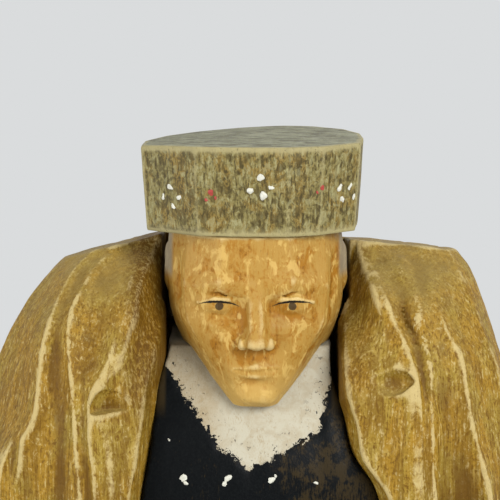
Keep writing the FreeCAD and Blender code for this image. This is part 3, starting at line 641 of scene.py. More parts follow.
def cap_finish(colours):
    """A thin grey-green wash on end-cut facets, worn pale round the rim and foot, with a stained crown and a
    painted shadow at the left of the foot.
    """
    f = Finish("cap_wash")
    fibres = f.noise((0.34, 0.34, 1.9), 3.0, 0.65)
    mottle = f.noise((0.55, 0.55, 0.9), 4.0, 0.7, 0.8, 13.0)
    patches = f.noise((2.6, 2.6, 4.2), 4.0, 0.6, 0.6, 3.0)
    ridge = f.mark("ridge")
    colour = f.mix(f.ramp(patches, 0.42, 0.60), colours.cap_wash, colours.cap_brown)
    grain = f.plus(f.times(fibres, 0.5), f.times(mottle, 0.5))
    colour = f.mix(f.ramp(grain, 0.51, 0.41), colour, colours.cap_grain_and_shadow)
    colour = f.mix(f.ramp(grain, 0.52, 0.61, 0.0, 0.85), colour, colours.cap_grey)
    blotch = f.noise((1.3, 1.3, 1.7), 4.0, 0.65, 0.8, 37.0)
    colour = f.mix(f.ramp(blotch, 0.50, 0.60, 0.0, 0.65), colour, colours.cap_grain_and_shadow)
    colour = f.mix(f.ramp(blotch, 0.47, 0.38, 0.0, 0.45), colour, colours.cap_grey)
    rise = f.plus(f.z, -HEAD_TOP_Z)
    foot = f.ramp(f.plus(rise, f.sway(patches, 2.6)), 1.5, 0.5, 0.0, 0.4)
    colour = f.mix(foot, colour, colours.cap_worn)
    rim = f.ramp(f.plus(rise, f.sway(patches, 3.0), f.sway(mottle, 1.2)),
                 10.9, 12.4, 0.0, 0.45)
    colour = f.mix(rim, colour, colours.cap_worn)
    # Painted shadow: a dark line along the bottom of the cap on its left side, where it meets the forehead.
    painted_shadow = f.times(f.ramp(f.plus(rise, f.sway(mottle, 1.0)), 1.2, 0.4), f.ramp(f.x, -6.0, -8.0))
    colour = f.mix(painted_shadow, colour, colours.cap_grain_and_shadow)
    ends = f.noise((3.0, 0.7, 1.0), 3.0, 0.65, 0.6, 19.0)
    crown = f.mix(f.ramp(ends, 0.43, 0.57), colours.cap_crown_deep, colours.cap_crown)
    crown = f.mix(f.ramp(mottle, 0.56, 0.68, 0.0, 0.5), crown, colours.cap_worn)
    colour = f.mix(f.ramp(f.upward(), 0.6, 0.9), colour, crown)
    worn = f.ramp(f.plus(ridge, f.sway(mottle, 0.08)), 0.015, 0.08, 0.0, 0.7)
    colour = f.mix(worn, colour, colours.cap_worn)
    grime = f.ramp(f.noise((0.3, 0.3, 0.5), 4.0, 0.75, 0.0, 29.0), 0.59, 0.68, 0.0, 0.8)
    colour = f.mix(grime, colour, colours.cap_grain_and_shadow)
    height = f.plus(grain, f.times(patches, 0.6))
    return f.finish(colour, f.ramp(mottle, 0.3, 0.7, 0.5, 0.7), height, 0.14, 0.25)


# The shirt front's sides: a point (x, distance below the neck's seat) and the way its paint lies from there.
SHIRT_SIDES = [((-0.1, 15.9), (-0.43, 0.90)), ((-0.1, 15.9), (0.56, 0.83)), ((-6.9, 9.6), (0.81, 0.59)),
               ((11.0, 5.5), (-0.97, 0.24))]


def waistcoat_finish(colours):
    """Black paint over the chest, worn off in patches, and a chalky white shirt front whose edges flake."""
    f = Finish("waistcoat_paint")
    streaks = wood_streaks(f, 0.18, 4.0)
    patches = f.noise(2.2, 4.0, 0.65, 0.6, 3.0)
    fine = f.noise(0.55, 4.0, 0.7, 0.4, 15.0)
    fleck = f.noise(0.32, 3.0, 0.7, 0.0, 9.0)
    black = f.mix(f.ramp(fleck, 0.45, 0.7, 0.0, 0.5), colours.waistcoat, colours.waistcoat_dust)
    right, lower = f.ramp(f.x, 1.0, 9.0, 0.0, 0.20), f.ramp(f.z, NECK_Z - 9.0, NECK_Z - 16.0, -0.08, 0.0)
    bare = f.ramp(f.plus(streaks, f.sway(patches, 0.8), right, lower), 0.62, 0.76, 0.0, 0.75)
    black = f.mix(bare, black, colours.waistcoat_bare)
    white = f.mix(f.ramp(patches, 0.42, 0.66, 0.0, 0.35), colours.shirt, colours.shirt_stain)
    white = f.mix(f.ramp(streaks, 0.52, 0.66, 0.0, 0.6), white, colours.shirt_stain)
    # The shirt front turns darker towards its sides, most on the left, in the yellowed white's colour.
    edge = f.math("MAXIMUM", f.ramp(f.x, -2.5, -7.0, 0.0, 0.7), f.ramp(f.x, 8.5, 12.5, 0.0, 0.45))
    white = f.mix(f.times(edge, f.ramp(streaks, 0.60, 0.42, 0.4, 1.0)), white, colours.shirt_stain)
    margin = None
    for (px, drop), (dx, dz) in SHIRT_SIDES:
        away = f.plus(f.times(f.x, dx), f.times(f.z, dz), -px * dx - (NECK_Z - drop) * dz)
        margin = away if margin is None else f.math("MINIMUM", margin, away)
    flakes = f.noise(1.1, 4.0, 0.65, 0.8, 33.0)
    ragged = f.plus(margin, f.sway(patches, 2.4), f.sway(flakes, 3.6),
                    f.sway(fine, 0.8))
    shown = f.ramp(ragged, -0.08, 0.08)
    flaky = f.plus(f.times(fine, 0.5), f.times(flakes, 0.5))
    chips = f.times(f.ramp(flaky, 0.585, 0.60), f.ramp(margin, 3.6, 0.6))
    shown = f.times(shown, f.math("SUBTRACT", 1.0, chips))
    colour = f.mix(shown, black, white)
    flank = f.ramp(f.math("ABSOLUTE", f.plus(f.x, 0.3)), 11.4, 12.0)
    colour = f.mix(f.times(f.times(flank, f.ramp(f.z, NECK_Z - 10.0, NECK_Z - 7.0)), 0.8), colour,
                   colours.waistcoat_bare)
    height = f.plus(f.times(streaks, 0.5), f.times(fleck, 0.25), f.times(shown, 0.5))
    rough = f.math("ADD", f.ramp(fleck, 0.3, 0.7, 0.38, 0.55), f.times(shown, 0.2))
    return f.finish(colour, rough, height, 0.08, 0.08)


def steel_finish(colours):
    """Dull zinc-plated steel, scratched across the head."""
    f = Finish("screw_steel")
    scratches = f.noise((0.1, 2.0, 0.6), 3.0, 0.6)
    clouds = f.noise(1.4, 3.0, 0.6, 0.3, 5.0)
    colour = f.mix(f.ramp(clouds, 0.35, 0.7), colours.steel, colours.steel_dark)
    f.shader.inputs["Metallic"].default_value = 1.0
    return f.finish(colour, f.ramp(scratches, 0.3, 0.7, 0.3, 0.5), scratches, 0.02)


def dab_paint(name, colour):
    """A dab of thick matt paint."""
    f = Finish(name)
    grain = f.noise(0.35, 3.0, 0.6)
    shade = f.mix(f.ramp(grain, 0.40, 0.75, 0.0, 0.4), colour, [0.75 * c for c in colour[:3]] + [1.0])
    return f.finish(shade, f.ramp(grain, 0.3, 0.7, 0.45, 0.6), grain, 0.05)


# ---- the coat ----
# Each ridge is a list of (drop below the shoulders, x, y, bulge of the face that follows it). The ridges run
# from the right front edge round the back to the left front edge.

COLLAR_RIGHT = [(0.5, 15.0, 0.5, 0.0), (3.7, 15.8, -2.5, 0.0), (7.0, 17.1, -8.5, 0.0),
                (10.0, 18.0, -10.5, 0.0), (12.6, 19.0, -11.9, 0.0), (15.1, 20.0, -13.3, 0.0),
                (16.6, 21.3, -14.5, 0.0), (18.5, 21.7, -15.4, 0.0), (24.5, 22.1, -16.5, 0.0),
                (33.5, 22.5, -17.3, 0.0), (50.5, 24.0, -17.5, 0.0), (74.5, 23.2, -17.1, 0.0),
                (100.5, 21.3, -16.0, 0.0), (126.5, 20.5, -15.3, 0.0)]
BAND_RIGHT = [(0.5, 16.3, 0.6, -0.2), (3.7, 17.2, -2.8, -0.4), (7.0, 18.6, -8.8, -1.1),
              (10.0, 19.7, -11.1, -1.1), (12.6, 21.0, -12.5, -1.1), (15.1, 22.0, -13.7, -0.8),
              (18.5, 23.0, -15.2, -0.8), (24.5, 23.4, -16.3, -0.3), (33.5, 23.7, -17.1, -0.3),
              (50.5, 25.4, -17.5, -0.3), (74.5, 24.6, -17.0, -0.3), (126.5, 21.9, -15.2, -0.3)]
FOLD_RIGHT = [(0.5, 21.0, 1.5, -0.1), (2.0, 21.2, 0.0, -0.1), (4.5, 21.6, -5.0, -0.5),
              (6.5, 22.6, -7.5, -0.5), (8.3, 23.2, -10.0, -0.5), (11.2, 23.8, -11.8, -0.5),
              (13.3, 24.4, -12.8, -0.5), (16.3, 24.7, -13.8, -0.5), (19.5, 24.7, -14.6, -0.6),
              (24.0, 24.9, -15.8, -1.0), (32.5, 25.2, -16.6, -1.9), (50.5, 27.0, -17.1, -2.3),
              (74.5, 25.9, -16.4, -2.2), (100.5, 24.2, -15.4, -1.9), (126.5, 23.2, -14.7, -1.6)]
SLEEVE_RIGHT = [(0.5, 25.0, 1.5, 0.0), (4.1, 25.5, -3.0, 0.0), (6.5, 25.4, -7.0, 0.0),
                (10.2, 26.6, -10.3, 0.0), (12.5, 27.5, -11.6, -0.1), (14.2, 28.6, -12.0, -0.2),
                (19.9, 29.8, -13.0, -0.3), (23.9, 30.5, -13.4, -0.4), (28.9, 31.9, -13.7, -0.5),
                (32.5, 32.9, -14.0, -0.5), (50.5, 34.0, -14.0, -0.6), (74.5, 32.8, -14.0, -0.6),
                (100.5, 31.4, -12.8, -0.5), (126.5, 29.9, -11.6, -0.4)]
SHOULDER_RIGHT = [(0.5, 28.0, 2.5, 0.2), (2.5, 28.6, 0.5, 0.2), (5.7, 30.0, -2.5, 0.2),
                  (9.6, 31.5, -4.5, 0.2), (13.5, 33.1, -5.5, 0.2), (16.9, 34.4, -6.3, 0.2),
                  (24.5, 36.0, -7.2, 0.2), (33.5, 37.6, -7.8, 0.2), (50.5, 38.4, -8.2, 0.2),
                  (74.5, 37.4, -8.4, 0.2), (126.5, 33.9, -7.2, 0.2)]
SIDE_RIGHT = [(0.5, 26.5, 6.0, 0.2), (1.8, 28.7, 5.2, 0.2), (4.5, 31.3, 3.0, 0.3), (10.1, 33.8, 2.0, 0.4),
              (16.7, 36.0, 1.0, 0.4), (24.5, 38.5, 0.5, 0.4), (33.5, 40.2, 0.0, 0.4),
              (50.5, 41.0, -0.4, 0.0), (74.5, 40.2, -0.9, 0.0), (100.5, 38.1, -0.9, 0.0),
              (126.5, 36.1, -0.9, 0.0)]
BACK_CORNER = [(0.0, 23.4, 9.5, -0.9), (2.0, 25.8, 11.0, -0.9), (6.5, 28.7, 11.9, -1.0),
               (12.5, 31.2, 12.6, -1.1), (24.5, 34.0, 12.6, -1.2), (50.5, 36.9, 12.6, -1.3),
               (74.5, 36.5, 11.9, -1.3), (126.5, 32.8, 11.0, -1.1)]
BACK_PLEAT = [(0.0, 19.8, 12.3, -0.7), (2.0, 21.8, 14.3, -0.7), (12.5, 26.0, 16.7, -0.9),
              (24.5, 28.0, 17.4, -1.1), (50.5, 31.0, 18.0, -1.3), (74.5, 30.4, 17.4, -1.3),
              (126.5, 27.5, 15.9, -1.1)]
BACK_FOLD = [(0.0, 15.6, 13.5, -0.7), (2.0, 17.0, 16.0, -0.8), (12.5, 19.7, 18.5, -1.0),
             (24.5, 21.3, 20.0, -1.2), (50.5, 23.0, 20.9, -1.4), (74.5, 22.6, 20.5, -1.4),
             (126.5, 20.9, 18.5, -1.2)]
BACK_MIDDLE = [(0.0, 5.3, 14.4, -0.4), (2.0, 6.2, 17.6, -0.4), (12.5, 6.6, 20.0, -0.6),
               (24.5, 7.0, 21.6, -0.8), (50.5, 7.4, 22.4, -1.0), (74.5, 7.4, 22.4, -1.0),
               (126.5, 7.0, 20.5, -0.9)]
SIDE_LEFT = [(0.3, -18.0, 4.0, 0.0), (2.1, -23.5, 3.0, 0.0), (3.7, -26.2, 2.5, 0.0), (8.7, -31.4, 2.0, 0.0),
             (13.0, -34.2, 1.5, 0.0), (17.7, -36.5, 1.0, 0.1), (24.5, -38.5, 0.5, 0.1),
             (33.5, -40.2, 0.0, 0.1), (50.5, -41.0, -0.4, 0.1), (74.5, -40.2, -0.9, 0.1),
             (126.5, -36.1, -0.9, 0.1)]
SLEEVE_LEFT = [(0.5, -20.0, 1.0, 0.0), (4.0, -24.5, -3.0, -0.6), (8.0, -27.0, -7.0, -0.6),
               (11.7, -28.4, -10.5, -0.6), (14.6, -29.0, -11.4, -0.9), (18.5, -29.4, -12.3, -1.1),
               (23.9, -30.2, -13.2, -1.2), (27.3, -32.1, -13.3, -1.2), (29.5, -33.7, -13.2, -1.1),
               (33.5, -35.5, -12.4, -0.9), (42.5, -37.3, -10.5, -0.8), (50.5, -38.0, -9.6, -0.8),
               (74.5, -37.4, -9.5, -0.8), (126.5, -33.5, -8.0, -0.8)]
FOLD_LEFT = [(0.5, -18.5, 0.0, -0.1), (4.0, -22.0, -4.5, -0.6), (8.0, -24.5, -9.0, -0.9),
             (12.8, -25.2, -11.8, -0.9), (15.8, -25.0, -13.0, -0.9), (20.0, -24.6, -14.2, -0.7),
             (24.0, -24.2, -15.3, -0.7), (29.0, -23.8, -16.1, -0.7), (33.0, -23.5, -16.5, -0.7),
             (50.5, -24.8, -17.2, -0.7), (74.5, -24.2, -16.6, -0.7), (126.5, -22.5, -15.0, -0.7)]
BAND_LEFT = [(0.5, -14.6, 0.4, -0.1), (2.0, -15.0, -1.0, -0.1), (4.8, -16.4, -6.2, -0.1),
             (7.2, -17.0, -9.3, -0.1), (9.8, -17.4, -11.2, -0.1), (12.8, -18.6, -12.6, -0.1),
             (16.5, -20.0, -14.2, 0.0), (19.0, -21.6, -15.2, 0.0), (23.5, -22.2, -15.95, 0.0),
             (33.5, -21.5, -17.0, 0.0), (50.5, -22.4, -17.5, 0.0), (74.5, -21.8, -17.0, 0.0),
             (126.5, -20.4, -15.4, 0.0)]
COLLAR_LEFT = [(0.5, -13.4, 0.4, 0.0), (2.0, -13.6, -1.0, 0.0), (4.8, -15.1, -6.0, 0.0),
               (7.2, -15.6, -9.0, 0.0), (9.8, -15.8, -10.8, 0.0), (12.8, -17.0, -12.3, 0.0),
               (16.5, -18.5, -14.0, 0.0), (19.0, -20.6, -15.2, 0.0), (22.2, -20.8, -15.9, 0.0),
               (27.0, -19.7, -16.5, 0.0), (33.5, -18.9, -17.2, 0.0), (50.5, -20.5, -17.5, 0.0),
               (74.5, -20.0, -17.1, 0.0), (126.5, -18.5, -15.5, 0.0)]
# The front edges, where the opening starts: (drop, x, y).
EDGE_RIGHT = [(0.5, 14.3, 3.0), (7.5, 13.5, -1.0), (12.6, 13.2, -7.0), (16.5, 13.1, -11.0),
              (19.5, 13.2, -12.3), (24.5, 14.7, -13.6), (29.5, 15.8, -14.6), (33.5, 18.6, -15.9),
              (50.5, 18.5, -16.0), (74.5, 18.0, -15.5), (100.5, 16.8, -14.8), (126.5, 15.7, -14.0)]
EDGE_LEFT = [(0.5, -12.7, 2.0), (7.5, -12.4, -2.0), (12.8, -12.8, -7.5), (16.5, -13.6, -10.5),
             (20.5, -14.6, -12.3), (24.5, -15.1, -13.3), (29.5, -15.8, -14.4), (33.5, -16.6, -15.6),
             (50.5, -18.3, -16.2), (74.5, -17.8, -15.6), (126.5, -15.7, -14.0)]
LEAN = 1.6                # how far the opening's walls lean in behind the front edges
LEAN_DEPTH = 4.5          # and how far back they reach while they do
COAT_CENTRE = (0.0, 6.0)  # the coat's ridges run round this line
SCOOP_MARKS = 0.7         # how strongly the short cuts show in the coat's wear and dirt


def hung(ridge):
    """A ridge of the coat with heights in place of its drops below the shoulders."""
    return [(SHOULDER_Z - drop, *rest) for drop, *rest in ridge]


def mirrored(ridge, bulge):
    """A ridge on the other side, with one bulge for the face that follows it there."""
    return [(drop, -x, y, bulge) for drop, x, y, _ in ridge]


def coat_ridges():
    """The ridges of the whole coat, from the right front edge round the back to the left one."""
    back = [BACK_CORNER, BACK_PLEAT, BACK_FOLD, BACK_MIDDLE]
    bulges = [-0.9, -1.1, -1.0, 0.3]
    left = [mirrored(ridge, bulge) for ridge, bulge in zip(reversed(back), bulges)]
    ridges = [COLLAR_RIGHT, BAND_RIGHT, FOLD_RIGHT, SLEEVE_RIGHT, SHOULDER_RIGHT, SIDE_RIGHT, *back,
              *left, SIDE_LEFT, SLEEVE_LEFT, FOLD_LEFT, BAND_LEFT, COLLAR_LEFT]
    return [hung(ridge) for ridge in ridges]


def opening_limits(zs, clearance=0.0):
    """How far the space between the coat's fronts reaches to the left and right at heights zs."""
    right = along(hung(EDGE_RIGHT), zs)[:, 0] - LEAN - clearance
    left = along(hung(EDGE_LEFT), zs)[:, 0] + LEAN + clearance
    return left.astype(np.float32), right.astype(np.float32)


def coat_block(g):
    """The coat, hollow in front and round the head, before it is split at the glue plane."""
    field = lofted(g, coat_ridges(), COAT_CENTRE)
    top = SHOULDER_Z
    for point, facing in (((14.6, 2, top - 1.2), (0.09, 0.13, 1.0)),
                          ((-21.0, 2, top - 2.3), (-0.25, 0.12, 0.97)),
                          ((-27.8, 2, top - 4.3), (-0.72, 0.06, 0.69))):
        field = both(field, plane(g, point, facing), 0.3)
    for collar, edge, side in ((COLLAR_RIGHT, EDGE_RIGHT, 1), (COLLAR_LEFT, EDGE_LEFT, -1)):
        collar, edge = hung(collar), hung(edge)
        behind = [(z, x - side * LEAN, y + LEAN_DEPTH) for z, x, y in edge]
        panel = beside(g, collar, edge) if side > 0 else beside(g, edge, collar)
        wall = beside(g, edge, behind) if side > 0 else beside(g, behind, edge)
        near = (side * g.x > 0) & (g.y < 0)
        field = both(field, np.where(near, panel, INSIDE), 0.25)
        field = both(field, np.where(near, wall, INSIDE), 0.15)
    field = field + lumps(g, 3, (3.5, 3.5, 9.0), 0.13) + lumps(g, 4, (1.2, 1.2, 6.5), 0.08)
    field = fluted(g, field)
    left, right = opening_limits(g.zs)
    inside = slab(g, (-FAR, -FAR, 0), (FAR, GLUE_Y - FIT, NECK_Z))
    field = cut(field, np.maximum(inside, np.maximum(g.x - right, left - g.x)))
    neck = both(head_blank(g) - 0.35, NECK_Z - g.z)
    field = cut(field, neck, 0.1)
    pocket = slab(g, (HEAD_LOW[0] - 0.2, -3.0, NECK_Z),
                  (HEAD_HIGH[0] + 0.2, HEAD_HIGH[1] + 0.8, NECK_Z + FAR))
    field = cut(field, pocket, 0.15)
    field = both(field, HEM_Z - g.z, 0.4)
    return both(field, g.z - SHOULDER_Z, 0.2)


def scooped(g, field):
    """The two short cuts in the coat's fronts: a lens under the right lapel and a half moon on the left."""
    top = SHOULDER_Z
    lens = egg(g, (19.2, -14.5, top - 19.4), (3.6, 1.6, 3.2))
    lens = np.maximum(lens, egg(g, (19.2, -14.5, top - 16.8), (3.6, 1.6, 3.2)))
    moon = egg(g, (-18.7, -15.1, top - 21.8), (3.3, 1.7, 3.0))
    moon = np.maximum(moon, plane(g, (-18.5, -15, top - 22.4), (0.05, 0.1, -1.0)))
    return cut(cut(field, lens, 0.3), moon, 0.3)


# The long gouge cuts down the coat's folds: each is its points (x, y, drop) and a radius at each point.
GOUGES = [
    ([(-26.6, -13.2, 12.0), (-27.0, -15.6, 22.0), (-27.4, -16.9, 34.0), (-28.0, -17.2, 60.0),
      (-27.5, -16.0, 126.5)], (1.6, 2.2, 2.6, 2.8, 2.4)),
    ([(-21.9, -18.6, 31.5), (-22.6, -18.8, 44.0), (-22.6, -18.6, 62.0)], (0.6, 1.6, 1.0)),
    ([(20.2, -12.6, 9.0), (22.2, -14.6, 14.5)], (0.5, 0.9)),
    ([(-20.6, -13.6, 8.5), (-22.4, -15.2, 15.5), (-23.0, -16.3, 20.0)], (1.2, 1.7, 1.0)),
    ([(29.0, -14.9, 20.0), (30.6, -16.2, 34.0), (31.6, -16.0, 70.0)], (1.0, 1.5, 1.4)),
    ([(-33.0, -12.6, 24.0), (-34.6, -14.6, 36.0), (-35.4, -13.8, 70.0)], (1.2, 2.0, 1.8)),
]


def fluted(g, field):
    """The coat with its gouge cuts."""
    for points, radii in GOUGES:
        field = cut(field, rod(g, [(x, y, SHOULDER_Z - drop) for x, y, drop in points], radii), 0.3)
    return field


def carve_coat(colours):
    """The coat's two fronts and its back slab, all carved from the same block."""
    stain = coat_stain(colours)
    for side, name in ((1, "coat_right"), (-1, "coat_left")):
        low, high = limits(name)
        g = Grid(low - 0.2, high + 0.2, 0.33, SHOULDER_Z - 46.0, 0.85)
        whole = coat_block(g)
        worked = scooped(g, whole)
        marked = (1 - SCOOP_MARKS) * whole + SCOOP_MARKS * worked
        field = np.maximum(worked, np.maximum(g.y - (GLUE_Y - FIT), -side * g.x))
        carved("coat_front_" + name[5:], g, field, stain, [name], marked)
    low, high = limits("coat_back")
    g = Grid(low - 0.2, high + 0.2, 0.42, SHOULDER_Z - 40.0, 0.95)
    whole = coat_block(g)
    carved("coat_back_slab", g, np.maximum(whole, GLUE_Y - g.y), stain, ["coat_back"], whole)


# ---- the body ----

# The chest's middle line: (drop below the neck's seat, y).
CHEST = [(0.0, -6.0), (7.5, -9.6), (14.0, -12.5), (27.5, -14.4), (42.5, -15.0), (59.5, -14.0)]
CHEST_HALF = 17.0         # half of the chest's width
CHEST_ROUND = 1.8         # the chest's edges lie this far behind its middle
SHIRT_STEP = 0.25         # the shirt front lies this far behind the waistcoat


def torso_block(g, clearance=FIT):
    """The chest between the coat's fronts."""
    front = along([(NECK_Z - drop, y) for drop, y in CHEST], g.zs)[:, 0].astype(np.float32)
    left, right = opening_limits(g.zs, clearance)
    field = (front + CHEST_ROUND * (g.x / CHEST_HALF) ** 2 - g.y) * 0.93
    field = both(field, np.maximum(g.x - right, left - g.x), 0.2)
    field = both(field, np.maximum(g.z - NECK_Z, WAIST_Z - g.z), 0.2)
    return both(field, g.y - (GLUE_Y - clearance), 0.2)


CHEST_ROW_Z = HAT_LOW[2] - 34.0
# Dabs of paint: (x, height from their row, width, length, turn).
CHEST_DABS = [(-9.4, 0.0, 1.2, 1.0, 0.4), (-9.0, -0.7, 0.6, 0.7, 1.0), (-3.2, 0.1, 1.5, 0.8, 0.5),
              (-3.6, -0.6, 0.6, 1.0, 0.2), (2.8, -0.1, 1.2, 0.8, 0.3), (3.4, 0.4, 0.5, 0.5, 1.0),
              (9.0, -0.6, 0.6, 0.5, 0.0), (-11.4, 5.0, 0.4, 0.5, 0.5)]


def carve_torso(colours):
    """The chest with its painted waistcoat, a shirt front set a little behind it and small dabs of white."""
    low, high = TORSO_LOW, TORSO_HIGH
    g = Grid(low - 0.2, high + 0.2, 0.33, NECK_Z - 32.0, 0.6)
    field = torso_block(g) + lumps(g, 7, (3.0, 3.0, 6.0), 0.14) + lumps(g, 8, (1.1, 1.1, 3.0), 0.06)
    margin = None
    for (px, drop), (dx, dz) in SHIRT_SIDES:
        away = (g.x - px) * dx + (g.z - (NECK_Z - drop)) * dz
        margin = away if margin is None else np.minimum(margin, away)
    shirt = np.clip(margin / 1.6 + 0.5, 0, 1) * np.clip(-(g.y + 3.0), 0, 1)
    field = (field + SHIRT_STEP * shirt).astype(np.float32)
    chest = carved("waistcoat_and_shirt", g, field, waistcoat_finish(colours), ["torso"])
    dabs = [(x, CHEST_ROW_Z + rise, *rest) for x, rise, *rest in CHEST_DABS]
    chalk = dab_paint("dab_chalk", colours.dab_white)
    place_dabs(chest, "waistcoat_dabs", chalk, dabs)


def carve_trousers(colours):
    """The trousers, with a gap between the legs, a crease down each and wrinkles at the knees."""
    low, high = limits("trousers")
    g = Grid(low - 0.2, high + 0.2, 0.4)
    left, right = opening_limits(g.zs, FIT)
    fork = low[2] + 38.0
    front = low[1]
    rounded = front + 1.6 * (np.maximum(np.abs(g.x) - 8.6, 0) / 9.0) ** 2
    field = np.maximum(rounded - g.y, g.y - (high[1] - FIT))
    field = both(field, np.maximum(g.x - right, left - g.x), 1.2)
    for side in (1, -1):
        inner = plane(g, (side * 3.4, front, 0), (-side * 0.5, -0.87, 0))
        field = both(field, np.where(g.z < fork + 5.0, inner, INSIDE), 0.4)
    gap = np.maximum(np.abs(g.x) - 1.3, g.z - fork)
    field = cut(field, gap, 0.8)
    for side in (1, -1):
        crease = [(side * 9.2, front - 0.6, fork + 6.0), (side * 8.8, front - 0.5, low[2])]
        field = cut(field, rod(g, crease, (0.8, 0.8)), 0.3)
        for drop, depth in ((14.0, 0.9), (18.0, 0.7), (22.5, 0.8)):
            wrinkle = [(side * 2.5, front - 0.4, fork - drop + 1.5), (side * 15.0, front - 0.2, fork - drop)]
            field = cut(field, rod(g, wrinkle, (depth, 0.5)), 0.5)
    field = field + lumps(g, 11, (3.0, 3.0, 8.0), 0.18)
    field = both(field, np.maximum(low[2] - g.z, g.z - (high[2] - FIT)), 0.3)
    finish = plain_wood("trouser_paint", colours.trousers, colours.trousers_worn, colours.coat_worn)
    carved("trouser_block", g, field, finish, ["trousers"])


def carve_boots(colours):
    """The boots, with a cuff, a welt, folds at the ankle and a heel."""
    finish = plain_wood("boot_paint", colours.boots, colours.boots_worn, colours.coat_worn)
    for name in ("boot_right", "boot_left"):
        low, high = limits(name)
        g = Grid(low - 0.2, high + 0.2, 0.32)
        x = 0.5 * (low[0] + high[0])
        foot, ankle = low[2], low[2] + 13.5
        shaft = rod(g, [(x, 0.2, ankle), (x, 0.0, high[2] + 3.0)], (6.2, 6.3))
        sole = rod(g, [(x, 1.6, foot + 3.0), (x, -14.0, foot + 2.4)], (6.3, 6.4))
        upper = rod(g, [(x, 1.0, foot + 8.0), (x, -13.6, foot + 3.2)], (6.4, 5.8))
        foot_block = both(joined(upper, sole, 1.0), plane(g, (x, -11.0, foot + 9.0), (0.0, -0.45, 0.89)), 1.0)
        field = joined(shaft, foot_block, 3.0)
        cuff_z = high[2] - 2.6
        cuff = rod(g, [(x, 0.0, cuff_z), (x, 0.0, high[2] + 3.0)], (6.75, 6.75))
        field = joined(field, np.maximum(cuff, cuff_z - g.z), 0.1)
        welt = np.maximum(np.abs(g.z - (foot + 2.6)) - 0.28, -(field + 0.45))
        field = cut(field, welt, 0.15)
        for k, rise in enumerate((12.0, 15.5, 19.5)):
            fold = rod(g, [(x - 6, -5.6 - 0.3 * k, foot + rise + 1.0), (x, -7.6 + 0.2 * k, foot + rise),
                           (x + 6, -5.6, foot + rise + 1.4)], (0.5, 0.7, 0.5))
            field = cut(field, fold, 0.5)
        heel = np.maximum(np.abs(g.y - 1.0) - 0.5, g.z - (foot + 1.2))
        field = cut(field, heel, 0.2)
        field = field + lumps(g, 13, (3.0, 3.0, 4.0), 0.14)
        box = slab(g, (low[0], low[1], foot), (high[0], high[1], high[2] - FIT))
        carved("boot_block_" + name[5:], g, both(field, box, 0.2), finish, [name])


SCREW_X = 0.5 * (limits("boot_right")[0][0] + limits("boot_right")[1][0])
PLINTH_CORNER = 13.0      # how far the plinth's corners are cut back along each side


def carve_plinth(colours):
    """The plinth: a board with its corners and its upper edge cut back, drilled from below for two screws."""
    low, high = limits("plinth")
    g = Grid(low - 0.2, high + 0.2, 0.5)
    back = 0.5 * PLINTH_CORNER
    field = np.maximum(low[2] - g.z, g.z - high[2])
    for point, facing in (((high[0], 0), (1, 0)), ((0, high[1]), (0, 1)),
                          ((high[0] - back, high[1] - back), (1, 1))):
        for sx in (1, -1):
            for sy in (1, -1):
                side = plane(g, (sx * point[0], sy * point[1], 0), (sx * facing[0], sy * facing[1], 0))
                field = both(field, side, 0.8)
                slope = (sx * facing[0], sy * facing[1], 1.2)
                bevel = plane(g, (sx * point[0], sy * point[1], high[2] - 1.8), slope)
                field = both(field, bevel, 0.3)
    field = field + lumps(g, 17, (6.0, 6.0, 5.0), 0.16) + lumps(g, 18, (2.0, 2.0, 2.0), 0.08)
    field = both(field, np.maximum(low[2] - g.z, g.z - high[2]), 0.2)
    for side in (1, -1):
        away = np.sqrt((g.x - side * SCREW_X) ** 2 + g.y ** 2)
        field = cut(field, away - 1.55)
        field = cut(field, np.maximum(away - 3.05, g.z - 0.6))
        field = cut(field, np.maximum(away - 3.05 + (g.z - 0.6) * 0.83, g.z - 2.4))
    finish = plain_wood("plinth_wood", colours.plinth, colours.plinth_light, colours.coat_worn)
    carved("plinth_block", g, field, finish, ["plinth"])


# The right arm's ends; the left arm mirrors it.
ELBOW = (22.0, -8.0, 121.0)
WRIST = (8.6, -20.0, 111.5)
SLEEVE_RADII = (5.0, 4.0)
SLEEVE_END = 3.0          # the sleeve's blank runs this far past the wrist before it is cut square
FINGERS = 4


def carve_arms(colours):
    """The forearms in their sleeves and the hands that lie over each other on the belly."""
    cloth = plain_wood("sleeve_paint", colours.sleeve_stain, colours.sleeve, colours.shirt)
    for side, word, fall in ((1, "right", -0.30), (-1, "left", -0.16)):
        elbow, wrist = np.array(ELBOW) * (side, 1, 1), np.array(WRIST) * (side, 1, 1)
        carve_sleeve(side, word, elbow, wrist, cloth)
        carve_hand(side, word, elbow, wrist, fall)


def carve_sleeve(side, word, elbow, wrist, cloth):
    """A sleeve from inside the coat to the wrist, with a cuff and three creases."""
    low, high = limits("forearm_" + word)
    g = Grid(low - 0.3, high + 0.3, 0.25)
    way = (wrist - elbow) / np.linalg.norm(wrist - elbow)
    sleeve = rod(g, [elbow, wrist + way * SLEEVE_END], SLEEVE_RADII)
    cuff = rod(g, [wrist - way * 2.6, wrist + way * SLEEVE_END], (4.5, 4.5))
    cuff = np.maximum(cuff, plane(g, wrist - way * 2.4, -way))
    field = joined(sleeve, cuff, 0.2)
    for back in (5.0, 7.6, 10.4):
        crease = plane(g, wrist - way * back, way + np.array([0, 0.1, 0.25 * side]))
        field = field + 0.28 * np.exp(-(crease / 0.55) ** 2)
    field = field + lumps(g, 21, (2.2, 2.2, 2.2), 0.14)
    field = both(field, plane(g, wrist, way), 0.3)
    field = cut(field, torso_block(g, 0.0) - FIT)
    field = cut(field, coat_block(g) - FIT)
    carved("sleeve_" + word, g, field.astype(np.float32), cloth, ["forearm_" + word])


